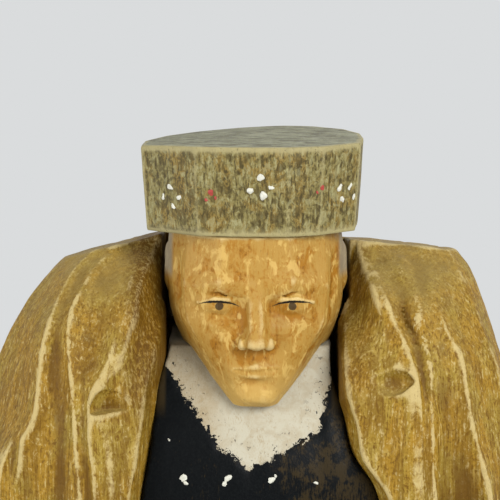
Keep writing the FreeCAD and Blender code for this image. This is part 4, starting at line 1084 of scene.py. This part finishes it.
def carve_hand(side, word, elbow, wrist, fall):
    """A hand laid flat on the belly, its fingers falling by fall for each step they reach across."""
    low, high = limits("hand_" + word)
    g = Grid(low - 0.3, high + 0.3, 0.17)
    way = (wrist - elbow) / np.linalg.norm(wrist - elbow)
    flat = np.array([-side, -0.12, fall])
    flat /= np.linalg.norm(flat)
    out = np.array([0, -1.0, 0]) + flat * flat[1]
    out /= np.linalg.norm(out)
    up = np.cross(flat, out) * side
    field = rod(g, [wrist + way * 0.4, wrist + flat * 3.2], (2.7, 2.9))
    for k in range(FINGERS):
        spread = up * (2.9 - 1.95 * k)
        shorter = abs(k - 1.3)
        start = wrist + flat * 2.6 + spread + out * 0.9
        middle = wrist + flat * (6.8 - 0.3 * shorter) + spread * 1.02 + out * 0.9
        tip = wrist + flat * (11.0 - 0.7 * shorter) + spread * 0.95 - out * 0.2
        field = joined(field, rod(g, [start, middle, tip], (1.35, 1.12, 0.9)), 0.25)
    thumb = rod(g, [wrist + flat * 1.6 + up * 2.6, wrist + flat * 4.6 + up * 3.5 + out * 1.6,
                    wrist + flat * 7.4 + up * 2.9 + out * 2.0], (1.5, 1.2, 0.95))
    field = joined(field, thumb, 0.3)
    field = field + lumps(g, 23, (1.2, 1.2, 1.2), 0.05)
    field = np.maximum(field, slab(g, low, high))
    field = cut(field, torso_block(g, 0.0) - FIT)
    sleeve = rod(g, [elbow, wrist + way * SLEEVE_END], (5.0, 4.5))
    field = cut(field, np.maximum(sleeve, plane(g, wrist, way)) - FIT)
    if side < 0:
        other = np.array(WRIST)
        over = rod(g, [other, other + np.array([-0.95, -0.12, -0.29]) * 9.5], (3.6, 2.6))
        field = cut(field, over, 0.1)
    skin = bpy.data.materials["skin_wood"]
    carved("hand_block_" + word, g, field.astype(np.float32), skin, ["hand_" + word], wear=0.25)


# ---- the head: levels are heights above the chin ----

EYE_X = 5.0
EYE_Z = CHIN_Z + 14.6
BROW_Z = CHIN_Z + 17.0
NOSE_Z = CHIN_Z + 8.9
# Half of the head's outline, as ridges of (level, x, y, bulge) from the front round to the back.
HEAD_RIDGES = [
    [(24.2, 4.6, -12.4, 0.1), (20.0, 4.7, -12.9, 0.1), (17.0, 4.8, -13.3, 0.1), (13.0, 4.7, -13.0, 0.1),
     (9.0, 4.3, -12.9, 0.15), (5.5, 3.6, -12.7, 0.15), (2.5, 2.7, -12.3, 0.15), (0.0, 1.9, -11.4, 0.1)],
    [(24.2, 9.4, -9.2, 0.2), (20.0, 9.7, -9.8, 0.2), (17.0, 9.9, -10.2, 0.2), (14.0, 9.7, -10.2, 0.2),
     (11.5, 9.1, -10.6, 0.2), (9.0, 7.7, -10.7, 0.15), (5.5, 5.9, -10.7, 0.1), (2.5, 4.3, -10.6, 0.1),
     (0.0, 3.1, -9.8, 0.1)],
    [(24.2, 12.1, -3.0, 0.4), (20.0, 12.5, -3.2, 0.4), (16.0, 12.5, -3.2, 0.4), (12.0, 12.0, -3.2, 0.4),
     (9.0, 10.9, -3.2, 0.3), (5.5, 9.1, -3.2, 0.3), (2.5, 7.2, -3.2, 0.3), (0.0, 5.6, -3.2, 0.3)],
    [(24.2, 10.4, 7.6, 0.5), (16.0, 10.8, 7.8, 0.5), (10.0, 10.0, 7.4, 0.5), (0.0, 8.0, 6.0, 0.5)],
    [(24.2, 4.6, 11.3, 0.1), (16.0, 4.9, 11.4, 0.1), (7.5, 4.4, 10.8, 0.1), (0.0, 4.0, 9.5, 0.1)],
]


def head_blank(g):
    """The head's faceted block, without the cuts below the jaw."""
    half = [[(CHIN_Z + rise, HEAD_X + x, y, bulge) for rise, x, y, bulge in ridge] for ridge in HEAD_RIDGES]
    other = [[(z, 2 * HEAD_X - x, y, 0.2) for z, x, y, _ in ridge] for ridge in reversed(half)]
    return lofted(g, half + other, (HEAD_X, 0.0))


def at(x, y, rise):
    """A point on the head, from its middle, in front of the ears and above the chin."""
    return (HEAD_X + x, y, CHIN_Z + rise)


def eyes(g, field):
    """Sockets under the brows, in each an eyeball and a heavy lid, with a crease above and a fold below."""
    for side in (1, -1):
        x = side * EYE_X
        socket = egg(g, at(x - 0.1 * side, -14.9, 13.9), (4.4, 2.9, 2.9))
        field = cut(field, np.maximum(socket, g.z - (BROW_Z - 0.5)), 0.7)
        inner = egg(g, at(side * 2.2, -14.3, 14.6), (1.5, 1.5, 1.5))
        field = cut(field, inner, 0.6)
        ball = egg(g, at(x, -10.6, 14.5), (2.9, 2.1, 1.75))
        field = joined(field, ball, 0.35)
        lid = rod(g, [at(x - side * 2.9, -12.0, 14.75), at(x - side * 1.3, -12.62, 15.55),
                      at(x + side * 0.6, -12.66, 15.6), at(x + side * 2.9, -11.5, 14.9)],
                  (0.25, 0.42, 0.42, 0.25))
        field = joined(field, lid, 0.2)
        crease = [at(x - 2.6, -12.3, 15.9), at(x, -12.9, 16.35), at(x + 2.6, -12.2, 15.9)]
        field = cut(field, rod(g, crease, (0.2, 0.28, 0.2)), 0.2)
        fold = [at(x - 2.2, -12.8, 12.5), at(x, -13.1, 12.0), at(x + 2.6, -12.3, 12.5)]
        field = cut(field, rod(g, fold, (0.1, 0.14, 0.1)), 0.5)
    return field


def brows(g, field):
    """A low ridge over each eye, and the hollow between them."""
    for side in (1, -1):
        ridge = [at(side * 1.9, -12.6, 17.7), at(side * 4.9, -12.65, 18.0), at(side * 8.9, -9.9, 16.9)]
        field = joined(field, rod(g, ridge, (0.6, 0.75, 0.55)), 1.1)
        temple = rod(g, [at(side * 11.6, -7.9, 20.5), at(side * 11.4, -8.0, 15.5)], (1.0, 1.2))
        field = cut(field, temple, 0.9)
    return cut(field, rod(g, [at(0, -14.3, 18.6), at(0, -14.4, 17.0)], (0.9, 0.7)), 0.7)


def nose(g, field):
    """A wedge from the brow to the tip, with wings and nostrils."""
    wedge = plane(g, at(0, -15.85, 9.9), (0, -0.945, 0.327))
    for side in (1, -1):
        wedge = both(wedge, plane(g, at(side * 0.75, -15.8, 9.9), (side * 0.88, -0.44, 0.13)), 0.35)
    wedge = both(wedge, plane(g, at(0, -15.8, 9.5), (0, -0.42, -0.91)), 0.45)
    wedge = both(wedge, np.maximum(g.z - (BROW_Z + 0.6), NOSE_Z - g.z), 0.3)
    field = joined(field, wedge, 0.5)
    tip = egg(g, at(0, -14.6, 9.9), (1.35, 1.45, 1.1))
    field = joined(field, tip, 0.5)
    for side in (1, -1):
        wing = egg(g, at(side * 1.75, -13.5, 9.55), (0.95, 1.35, 0.95))
        field = joined(field, wing, 0.4)
        nostril = egg(g, at(side * 0.85, -14.4, 8.75), (0.42, 0.75, 0.4))
        field = cut(field, nostril, 0.15)
        cheek = rod(g, [at(side * 3.2, -14.0, 9.8), at(side * 4.5, -13.9, 7.6)], (0.7, 0.6))
        field = cut(field, cheek, 0.7)
        below = rod(g, [at(side * 3.6, -14.1, 11.4), at(side * 6.8, -13.0, 10.6)], (0.5, 0.7))
        field = cut(field, below, 0.8)
    return cut(field, rod(g, [at(0, -13.9, 8.3), at(0, -13.8, 7.2)], (0.42, 0.45)), 0.3)


def mouth(g, field):
    """A closed mouth, the hollow below it and the chin."""
    mound = egg(g, at(0, -11.6, 5.6), (4.2, 1.9, 2.9))
    field = joined(field, mound, 0.8)
    upper = rod(g, [at(-2.9, -12.9, 5.75), at(0, -13.25, 6.2), at(2.9, -12.9, 5.75)], (0.3, 0.55, 0.3))
    lower = rod(g, [at(-2.3, -12.8, 5.05), at(0, -13.05, 4.8), at(2.3, -12.8, 5.05)], (0.3, 0.62, 0.3))
    field = joined(joined(field, upper, 0.45), lower, 0.5)
    line = rod(g, [at(-3.1, -13.2, 5.7), at(-1.2, -13.75, 5.55), at(0, -13.85, 5.45), at(1.2, -13.75, 5.55),
                   at(3.1, -13.2, 5.7)], (0.2, 0.27, 0.27, 0.27, 0.2))
    field = cut(field, line, 0.12)
    hollow = rod(g, [at(-1.7, -13.8, 3.6), at(1.7, -13.8, 3.6)], (0.8, 0.8))
    field = cut(field, hollow, 0.8)
    chin = egg(g, at(0, -11.3, 1.9), (2.7, 1.9, 1.7))
    return joined(field, chin, 0.9)


def ears(g, field):
    """Flat ears that stand a little out from under the cap, with a hollow in each."""
    for side in (1, -1):
        ear = egg(g, at(side * 12.2, -1.9, 18.2), (1.0, 1.9, 3.6))
        field = joined(field, ear, 0.3)
        hollow = egg(g, at(side * 13.3, -2.2, 18.8), (0.6, 1.0, 2.1))
        field = cut(field, hollow, 0.3)
    return field


def carve_head(colours):
    """The head: its blank, the features, and gouged locks of hair at the back."""
    low, high = HEAD_LOW, HEAD_HIGH
    g = Grid(low - 0.2, high + 0.2, 0.215)
    field = head_blank(g)
    for shape in (brows, eyes, nose, mouth, ears):
        field = shape(g, field)
    field = both(field, plane(g, at(0, -11.4, 0.0), (0, -0.45, -0.89)), 0.4)
    field = field + lumps(g, 25, (2.4, 2.4, 2.4), 0.10) + lumps(g, 26, (0.9, 0.9, 1.8), 0.035)
    for side in (1, -1):
        for k in range(9):
            lock = rod(g, [at(side * (0.8 + 1.35 * k), 12.2 - 0.07 * k * k, 24.5),
                           at(side * (0.9 + 1.25 * k), 11.9 - 0.07 * k * k, 9.0)], (0.55, 0.55))
            field = cut(field, lock, 0.25)
    field = cut(field, torso_block(g, 0.0) - FIT)
    neck_end = np.where(g.y > -5.0, NECK_Z + FIT - g.z, INSIDE)
    field = both(field, np.maximum(g.z - (high[2] - FIT), neck_end), 0.12)
    field = np.maximum(field, slab(g, low, high))
    carved("head_block", g, field, skin_wash(colours), ["head"])


# ---- the cap ----

# The cap's corners, as shares of its half width and half depth, and how far each slopes in at the foot.
CAP_CORNERS = [(-0.98, -0.56, 1.0), (-0.50, -0.93, 1.2), (-0.09, -0.985, 1.1), (0.33, -0.995, 1.1),
               (0.62, -0.90, 1.2), (0.95, -0.58, 0.8), (1.0, -0.15, 0.9), (0.995, 0.25, 1.2),
               (0.87, 0.62, 1.3), (0.60, 0.89, 1.3), (0.30, 1.0, 1.3), (-0.14, 0.97, 1.3),
               (-0.53, 0.84, 1.3), (-0.82, 0.55, 1.3), (-0.99, 0.05, 1.2)]


# Dabs of paint: (x from the cap's middle, height above its foot, width, length, turn).
CAP_WHITE = [(1.1, 8.3, 1.15, 0.9, 0.2), (-0.3, 6.5, 0.85, 1.0, 1.2), (2.5, 6.9, 1.1, 0.8, 0.3),
             (1.5, 5.8, 1.0, 1.25, 0.0), (-11.2, 6.5, 0.7, 1.1, 0.5), (-9.9, 5.2, 0.6, 0.9, 0.9),
             (-12.2, 5.0, 0.6, 0.9, 2.0), (-10.8, 3.9, 0.6, 0.9, 0.3), (11.9, 6.4, 0.7, 1.2, 0.1),
             (13.4, 6.4, 0.5, 1.2, 0.2), (12.3, 4.7, 0.7, 0.9, 0.8), (13.9, 4.9, 0.4, 0.8, 0.4)]
CAP_RED = [(-5.6, 6.1, 0.8, 0.95, 0.3), (-6.3, 5.2, 0.45, 0.5, 1.0), (-5.0, 5.4, 0.4, 0.45, 0.4),
           (9.5, 6.7, 0.6, 0.8, 0.5), (8.8, 6.1, 0.4, 0.45, 0.2)]


def cap_point(x_share, y_share, inset=0.0):
    """A place on the cap's outline, set in by inset."""
    middle, half = 0.5 * (HAT_LOW + HAT_HIGH), 0.5 * (HAT_HIGH - HAT_LOW)
    return middle[0] + x_share * (half[0] - inset), middle[1] + y_share * (half[1] - inset)


def carve_cap(colours):
    """The cap: upright knife facets, a slumped crown, a crack and dabs of paint."""
    low, high = HAT_LOW, HAT_HIGH
    g = Grid(low - 0.2, high + 0.2, 0.2)
    ridges = []
    for x, y, slope in CAP_CORNERS:
        top, foot = cap_point(x, y), cap_point(x, y, slope)
        ridges.append([(high[2] + 1, *top, 0.0), (low[2] + 7.0, *cap_point(x, y, 0.45 * slope), 0.05),
                       (low[2] - 1, *foot, 0.0)])
    field = lofted(g, ridges, (HEAD_X, 0.0))
    field = field + lumps(g, 31, (3.0, 3.0, 5.0), 0.08) + lumps(g, 32, (1.0, 1.0, 2.6), 0.05)
    crown = plane(g, (0.0, -HAT_HIGH[1], high[2] - 0.55), (0.0, -0.004, 1.0))
    slump = plane(g, (-2.0, 9.0, high[2] - 0.6), (-0.075, 0.035, 1.0))
    field = both(both(field, crown, 0.35), slump, 0.5)
    field = both(field, (low[2] + FIT) - g.z, 0.15)
    crack = rod(g, [(-16.2, -2.5, low[2] + 10.5), (-15.2, -4.5, low[2] + 6.0), (-14.9, -5.0, low[2] + 1.5)],
                (0.25, 0.3, 0.22))
    field = cut(field, crack, 0.08)
    cap = carved("cap_block", g, field, cap_finish(colours), ["hat"])
    for name, paint, dabs in (("white", colours.dab_white, CAP_WHITE), ("red", colours.dab_red, CAP_RED)):
        lifted = [(x + 0.5 * (low[0] + high[0]), low[2] + rise, *rest) for x, rise, *rest in dabs]
        place_dabs(cap, "cap_dabs_" + name, dab_paint("dab_" + name, paint), lifted)


# ---- dabs of paint, laid on by Geometry Nodes ----

DAB_SWELL = 1.2           # a dab's rise before it is flattened, in millimetres
DAB_THICKNESS = 0.22      # what is left of that rise
DAB_INPUTS = (("Thickness", DAB_THICKNESS), ("Unevenness", 0.16), ("Grain", 0.7))


def dab_tree(material):
    """Lays a flattened, uneven blob on every point of a mesh, turned to face along the point's facing."""
    tree = bpy.data.node_groups.new("paint_dabs", "GeometryNodeTree")
    face = tree.interface
    face.new_socket("Geometry", in_out="INPUT", socket_type="NodeSocketGeometry")
    for name, value in DAB_INPUTS:
        socket = face.new_socket(name, in_out="INPUT", socket_type="NodeSocketFloat")
        socket.default_value = value
    face.new_socket("Geometry", in_out="OUTPUT", socket_type="NodeSocketGeometry")

    def add(kind, *values, **named):
        """The first output of a new node."""
        return add_node(tree, kind, *values, **named).outputs[0]

    def on_point(name, kind):
        """A value that each point brings with it."""
        made = add_node(tree, "GeometryNodeInputNamedAttribute", Name=name)
        made.data_type = kind
        return next(s for s in made.outputs if s.enabled and s.name == "Attribute")

    given = tree.nodes.new("NodeGroupInput").outputs
    blob = add("GeometryNodeMeshUVSphere", Segments=18, Rings=10, Radius=0.5 * MM)
    towards = add_node(tree, "FunctionNodeAlignRotationToVector", Vector=on_point("facing", "FLOAT_VECTOR"))
    towards.axis = "Z"
    turn = add("FunctionNodeAxisAngleToRotation", Angle=on_point("turn", "FLOAT"))
    spin = add_node(tree, "FunctionNodeRotateRotation", towards.outputs[0], turn)
    spin.rotation_space = "LOCAL"
    thick = add("ShaderNodeCombineXYZ", X=1.0, Y=1.0, Z=given["Thickness"])
    size = add("ShaderNodeVectorMath", on_point("size", "FLOAT_VECTOR"), thick, operation="MULTIPLY")
    laid = add("GeometryNodeInstanceOnPoints", Points=given["Geometry"], Instance=blob,
               Rotation=spin.outputs[0], Scale=size)
    solid = add("GeometryNodeRealizeInstances", laid)
    scale = add("ShaderNodeMath", 1 / MM, given["Grain"], operation="DIVIDE")
    cloud = add_node(tree, "ShaderNodeTexNoise", Scale=scale, Detail=2.0)
    shift = add("ShaderNodeVectorMath", cloud.outputs[1], (0.5, 0.5, 0.5), operation="SUBTRACT")
    metres = add("ShaderNodeMath", given["Unevenness"], 4 * MM, operation="MULTIPLY")
    push = add("ShaderNodeVectorMath", shift, operation="SCALE", Scale=metres)
    moved = add("GeometryNodeSetPosition", Geometry=solid, Offset=push)
    smooth = add("GeometryNodeSetShadeSmooth", Geometry=moved)
    coated = add("GeometryNodeSetMaterial", Geometry=smooth, Material=material)
    add_node(tree, "NodeGroupOutput", coated)
    return tree


def place_dabs(block, name, material, dabs):
    """Dabs on the front of a block: each is (x, height, width, length, turn)."""
    points, facing, size, turn = [], [], [], []
    for x, z, wide, long, angle in dabs:
        start = Vector((x, -FAR, z)) * MM
        hit, place, normal, _ = block.ray_cast(start, Vector((0, 1, 0)))
        if not hit:
            raise RuntimeError(f"{name} has a dab that misses its block")
        points.append(place)
        facing.append(normal)
        size.append((wide, long, DAB_SWELL))
        turn.append(angle)
    mesh = bpy.data.meshes.new(name)
    mesh.from_pydata([tuple(p) for p in points], [], [])
    for label, kind, values in (("facing", "FLOAT_VECTOR", facing), ("size", "FLOAT_VECTOR", size),
                                ("turn", "FLOAT", turn)):
        layer = mesh.attributes.new(label, kind, "POINT")
        key = "value" if kind == "FLOAT" else "vector"
        layer.data.foreach_set(key, np.array(values, np.float32).ravel())
    piece = bpy.data.objects.new(name, mesh)
    bpy.context.scene.collection.objects.link(piece)
    tree = dab_tree(material)
    layer = piece.modifiers.new("dabs", "NODES")
    layer.node_group = tree
    ids = {item.name: item.identifier for item in tree.interface.items_tree
           if item.item_type == "SOCKET" and item.in_out == "INPUT"}
    layer[ids["Thickness"]] = DAB_THICKNESS
    view = bpy.context.evaluated_depsgraph_get()
    view.update()
    solid = bpy.data.meshes.new_from_object(piece.evaluated_get(view), depsgraph=view)
    piece.modifiers.clear()
    piece.data = solid
    finished(piece, material)


# ---- dowels, screws and the stage ----

def finish_fixings(colours):
    """Gives the hidden dowels and screws of the construction their wood and steel."""
    beech = plain_wood("dowel_wood", colours.beech_deep, colours.beech, colours.skin_worn)
    steel = steel_finish(colours)
    for name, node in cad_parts.items():
        if name.endswith(("_dowel", "_dowels", "_screws")):
            node.data.materials.clear()
            node.data.materials.append(steel if name.endswith("_screws") else beech)


FLOOR_RADIUS = 14.0       # metres, so that its rim is never in the view
FLOOR_FADE = (110.0, 420.0)
FLOOR_SIDES = 64
CAMERA_RISE = math.radians(10)


def set_stage(settings):
    """A pale floor that fades into the background, soft lights, and the camera before the head."""
    scene = bpy.context.scene
    world = bpy.data.worlds.new("pale_room")
    world.use_nodes = True
    scene.world = world
    backdrop = world.node_tree.nodes["Background"]
    backdrop.inputs["Color"].default_value = settings.backdrop
    backdrop.inputs["Strength"].default_value = settings.sky

    mesh = bpy.data.meshes.new("floor")
    ring = [(FLOOR_RADIUS * math.cos(turn), FLOOR_RADIUS * math.sin(turn), 0)
            for turn in np.linspace(0, 2 * math.pi, FLOOR_SIDES, endpoint=False)]
    mesh.from_pydata(ring, [], [list(range(FLOOR_SIDES))])
    floor = bpy.data.objects.new("floor", mesh)
    scene.collection.objects.link(floor)
    f = Finish("floor_paper")
    away = f.math("SQRT", f.plus(f.times(f.x, f.x), f.times(f.y, f.y)))
    glow = f.node("ShaderNodeEmission", Color=settings.backdrop, Strength=1.0)
    fade = f.ramp(away, FLOOR_FADE[0], FLOOR_FADE[1])
    blend = f.node("ShaderNodeMixShader", fade, f.shader.outputs[0], glow.outputs[0])
    f.tree.links.new(blend.outputs[0], f.out.inputs["Surface"])
    f.shader.inputs["Base Color"].default_value = tint(226, 228, 229)
    f.shader.inputs["Roughness"].default_value = 0.8
    floor.data.materials.append(f.material)

    top = HAT_HIGH[2]
    for name, place, size, power in (("key", (230, -320, top + 170), 200, settings.key_power),
                                     ("fill", (-420, -220, top + 40), 300, settings.fill_power),
                                     ("back", (60, 420, top + 300), 300, settings.back_power)):
        light = bpy.data.lights.new(name, "AREA")
        light.shape = "DISK"
        light.size = size * MM
        light.energy = power
        lamp = bpy.data.objects.new(name, light)
        lamp.location = Vector(place) * MM
        aim = Vector((0, -8, top - 25)) * MM - lamp.location
        lamp.rotation_euler = aim.to_track_quat("-Z", "Y").to_euler()
        scene.collection.objects.link(lamp)

    camera = bpy.data.cameras.new("camera")
    camera.lens = settings.lens
    camera.sensor_width = 36.0
    eye = bpy.data.objects.new("camera", camera)
    target = Vector((-0.1, HEAD_LOW[1] + 2.4, HEAD_TOP_Z - 1.6)) * MM
    eye.location = target + Vector((0, -math.cos(CAMERA_RISE), math.sin(CAMERA_RISE))) * settings.distance
    eye.rotation_euler = (math.radians(90) - CAMERA_RISE, 0, 0)
    scene.collection.objects.link(eye)
    scene.camera = eye
    scene.view_settings.view_transform = "Standard"


# ---- the add-on ----

PAINT_DEPTH = 0.66        # the paints reflect this share of what they would under a plain white sky


def colour(name, description, red, green, blue, depth=PAINT_DEPTH):
    """A colour that the user can change, from display values between 0 and 255."""
    shade = [depth * c for c in tint(red, green, blue)[:3]]
    return bpy.props.FloatVectorProperty(name=name, description=description, subtype="COLOR", size=4,
                                         min=0.0, max=1.0, default=(*shade, 1.0))


def setting(name, description, default, unit, least=0.0):
    """A size or a power that the user can change."""
    return bpy.props.FloatProperty(name=name, description=description, default=default, min=least, unit=unit)


class FigurineColours(bpy.types.PropertyGroup):
    """The stains and paints."""
    coat_stain: colour("Coat", "Ochre stain on the coat", 170, 130, 38)
    coat_olive: colour("Coat olive", "Stain that dried greenish", 166, 138, 54)
    coat_deep: colour("Coat grain", "Stain in the coat's darker fibres", 122, 87, 19)
    coat_pale: colour("Coat rubbed", "Stain rubbed thin in patches", 187, 158, 79)
    # The pooled stain's colour also serves as the painted shade on the coat's inner facets beside the head.
    coat_pool_and_shade: colour("Coat pooled", "Stain pooled in the cuts", 104, 71, 11)
    coat_dust: colour("Coat dust", "Dust on the shoulders", 162, 138, 75)
    coat_worn: colour("Coat ridges", "Bare wood along the ridges", 208, 185, 125)
    skin_wash: colour("Skin", "Amber wash on the face and hands", 186, 144, 66)
    skin_amber: colour("Skin pooled", "Amber wash where it pooled", 168, 111, 18)
    skin_deep: colour("Skin grime", "Dirt in the pores", 119, 76, 18)
    # The rubbed wash's colour also serves as the painted bounce light at the chin.
    skin_rubbed_and_lit: colour("Skin rubbed", "Wash rubbed thin", 221, 183, 102)
    skin_worn: colour("Skin ridges", "Bare wood along the ridges", 232, 205, 142)
    hair_grey: colour("Hair", "Grey wash at the temples and the back", 150, 142, 122)
    ink: colour("Eye lines", "Black paint of the eyes' lines", 26, 22, 20)
    cap_wash: colour("Cap", "Grey-green wash on the cap", 136, 123, 70)
    cap_brown: colour("Cap brown", "Brown patches of the cap's wash", 141, 116, 52)
    # The dark grain's colour also serves as the painted shadow along the cap's foot.
    cap_grain_and_shadow: colour("Cap grain", "Dark grain and dirt on the cap", 77, 65, 27)
    cap_grey: colour("Cap bloom", "Grey bloom on the cap", 167, 161, 115)
    cap_crown: colour("Crown", "The cap's top", 155, 155, 124)
    cap_crown_deep: colour("Crown grain", "Dark grain of the cap's top", 96, 92, 61)
    cap_worn: colour("Cap edges", "Bare wood round the cap's rim and foot", 179, 167, 118)
    dab_white: colour("White dabs", "White dots of paint", 226, 224, 208)
    dab_red: colour("Red dabs", "Red dots of paint", 176, 62, 50)
    waistcoat: colour("Waistcoat", "Black paint on the waistcoat", 6, 9, 11)
    waistcoat_dust: colour("Waistcoat bloom", "Dusty black", 18, 22, 22)
    waistcoat_bare: colour("Waistcoat worn", "Wood that shows through the black", 60, 48, 25)
    shirt: colour("Shirt", "Chalky white of the shirt front", 201, 194, 172)
    shirt_stain: colour("Shirt stained", "Yellowed white", 168, 147, 109)
    sleeve: colour("Sleeves", "Off-white sleeves", 192, 184, 164)
    sleeve_stain: colour("Sleeves stained", "Yellowed sleeves", 156, 137, 102)
    trousers: colour("Trousers", "Dark brown wash on the trousers", 44, 38, 32)
    trousers_worn: colour("Trousers thin", "The wash where it is thin", 76, 64, 48)
    boots: colour("Boots", "Black-brown paint on the boots", 26, 23, 21)
    boots_worn: colour("Boots thin", "The paint where it is thin", 56, 46, 36)
    plinth: colour("Plinth grain", "Dark fibres of the plinth", 92, 62, 30)
    plinth_light: colour("Plinth", "Waxed stain on the plinth", 138, 100, 54)
    beech: colour("Dowels", "Bare beech", 214, 182, 138)
    beech_deep: colour("Dowel grain", "Grain of the beech", 186, 146, 100)
    steel: colour("Screws", "Zinc-plated steel", 176, 176, 172)
    steel_dark: colour("Screws dulled", "Dulled steel", 120, 118, 112)


class FigurineStage(bpy.types.PropertyGroup):
    """The camera, the lights and the background."""
    lens: setting("Lens", "Focal length", 122.6, "CAMERA", 20.0)
    distance: setting("Distance", "From the camera to the face", 0.23, "LENGTH", 0.05)
    key_power: setting("Key", "Power of the key light", 2.1, "POWER")
    fill_power: setting("Fill", "Power of the fill light", 1.5, "POWER")
    back_power: setting("Back", "Power of the light from behind", 0.35, "POWER")
    sky: setting("Sky", "Strength of the light from all round", 1.0, "NONE")
    backdrop: colour("Backdrop", "The room's colour", 218, 220, 221, 1.0)


class FIGURINE_OT_coat(bpy.types.Operator):
    """Carves the coat's two fronts and its back slab"""
    bl_idname = "figurine.coat"
    bl_label = "Coat"

    def execute(self, context):
        carve_coat(context.scene.figurine_colours)
        return {"FINISHED"}


class FIGURINE_OT_torso(bpy.types.Operator):
    """Carves the chest and paints the waistcoat and the shirt front"""
    bl_idname = "figurine.torso"
    bl_label = "Waistcoat and shirt"

    def execute(self, context):
        carve_torso(context.scene.figurine_colours)
        return {"FINISHED"}


class FIGURINE_OT_head(bpy.types.Operator):
    """Carves the head"""
    bl_idname = "figurine.head"
    bl_label = "Head"

    def execute(self, context):
        carve_head(context.scene.figurine_colours)
        return {"FINISHED"}


class FIGURINE_OT_cap(bpy.types.Operator):
    """Carves the cap and lays its dabs of paint"""
    bl_idname = "figurine.cap"
    bl_label = "Cap"

    def execute(self, context):
        carve_cap(context.scene.figurine_colours)
        return {"FINISHED"}


class FIGURINE_OT_arms(bpy.types.Operator):
    """Carves the forearms and the hands"""
    bl_idname = "figurine.arms"
    bl_label = "Arms"

    def execute(self, context):
        carve_arms(context.scene.figurine_colours)
        return {"FINISHED"}


class FIGURINE_OT_legs(bpy.types.Operator):
    """Carves the trousers and the boots"""
    bl_idname = "figurine.legs"
    bl_label = "Legs"

    def execute(self, context):
        carve_trousers(context.scene.figurine_colours)
        carve_boots(context.scene.figurine_colours)
        return {"FINISHED"}


class FIGURINE_OT_plinth(bpy.types.Operator):
    """Carves the plinth"""
    bl_idname = "figurine.plinth"
    bl_label = "Plinth"

    def execute(self, context):
        carve_plinth(context.scene.figurine_colours)
        return {"FINISHED"}


class FIGURINE_OT_fixings(bpy.types.Operator):
    """Finishes the dowels and the screws"""
    bl_idname = "figurine.fixings"
    bl_label = "Dowels and screws"

    def execute(self, context):
        finish_fixings(context.scene.figurine_colours)
        return {"FINISHED"}


class FIGURINE_OT_stage(bpy.types.Operator):
    """Sets the floor, the lights and the camera"""
    bl_idname = "figurine.stage"
    bl_label = "Stage"

    def execute(self, context):
        set_stage(context.scene.figurine_stage)
        return {"FINISHED"}


STEPS = (FIGURINE_OT_stage, FIGURINE_OT_head, FIGURINE_OT_cap, FIGURINE_OT_coat, FIGURINE_OT_torso,
         FIGURINE_OT_arms, FIGURINE_OT_legs, FIGURINE_OT_plinth, FIGURINE_OT_fixings)


class FIGURINE_PT_steps(bpy.types.Panel):
    """The figurine's steps, in order"""
    bl_idname = "FIGURINE_PT_steps"
    bl_label = "Carved Figurine"
    bl_space_type = "VIEW_3D"
    bl_region_type = "UI"
    bl_category = "Figurine"

    def draw(self, context):
        for step in STEPS:
            self.layout.operator(step.bl_idname)


def register():
    """Adds the figurine's classes and settings."""
    for made in (FigurineColours, FigurineStage, *STEPS, FIGURINE_PT_steps):
        bpy.utils.register_class(made)
    bpy.types.Scene.figurine_colours = bpy.props.PointerProperty(type=FigurineColours)
    bpy.types.Scene.figurine_stage = bpy.props.PointerProperty(type=FigurineStage)


def unregister():
    """Takes them away again."""
    del bpy.types.Scene.figurine_stage
    del bpy.types.Scene.figurine_colours
    for made in (FIGURINE_PT_steps, *reversed(STEPS), FigurineStage, FigurineColours):
        bpy.utils.unregister_class(made)


def main():
    """Runs every step in order."""
    register()
    for step in STEPS:
        group, name = step.bl_idname.split(".")
        getattr(getattr(bpy.ops, group), name)()


if __name__ == "__main__":
    main()
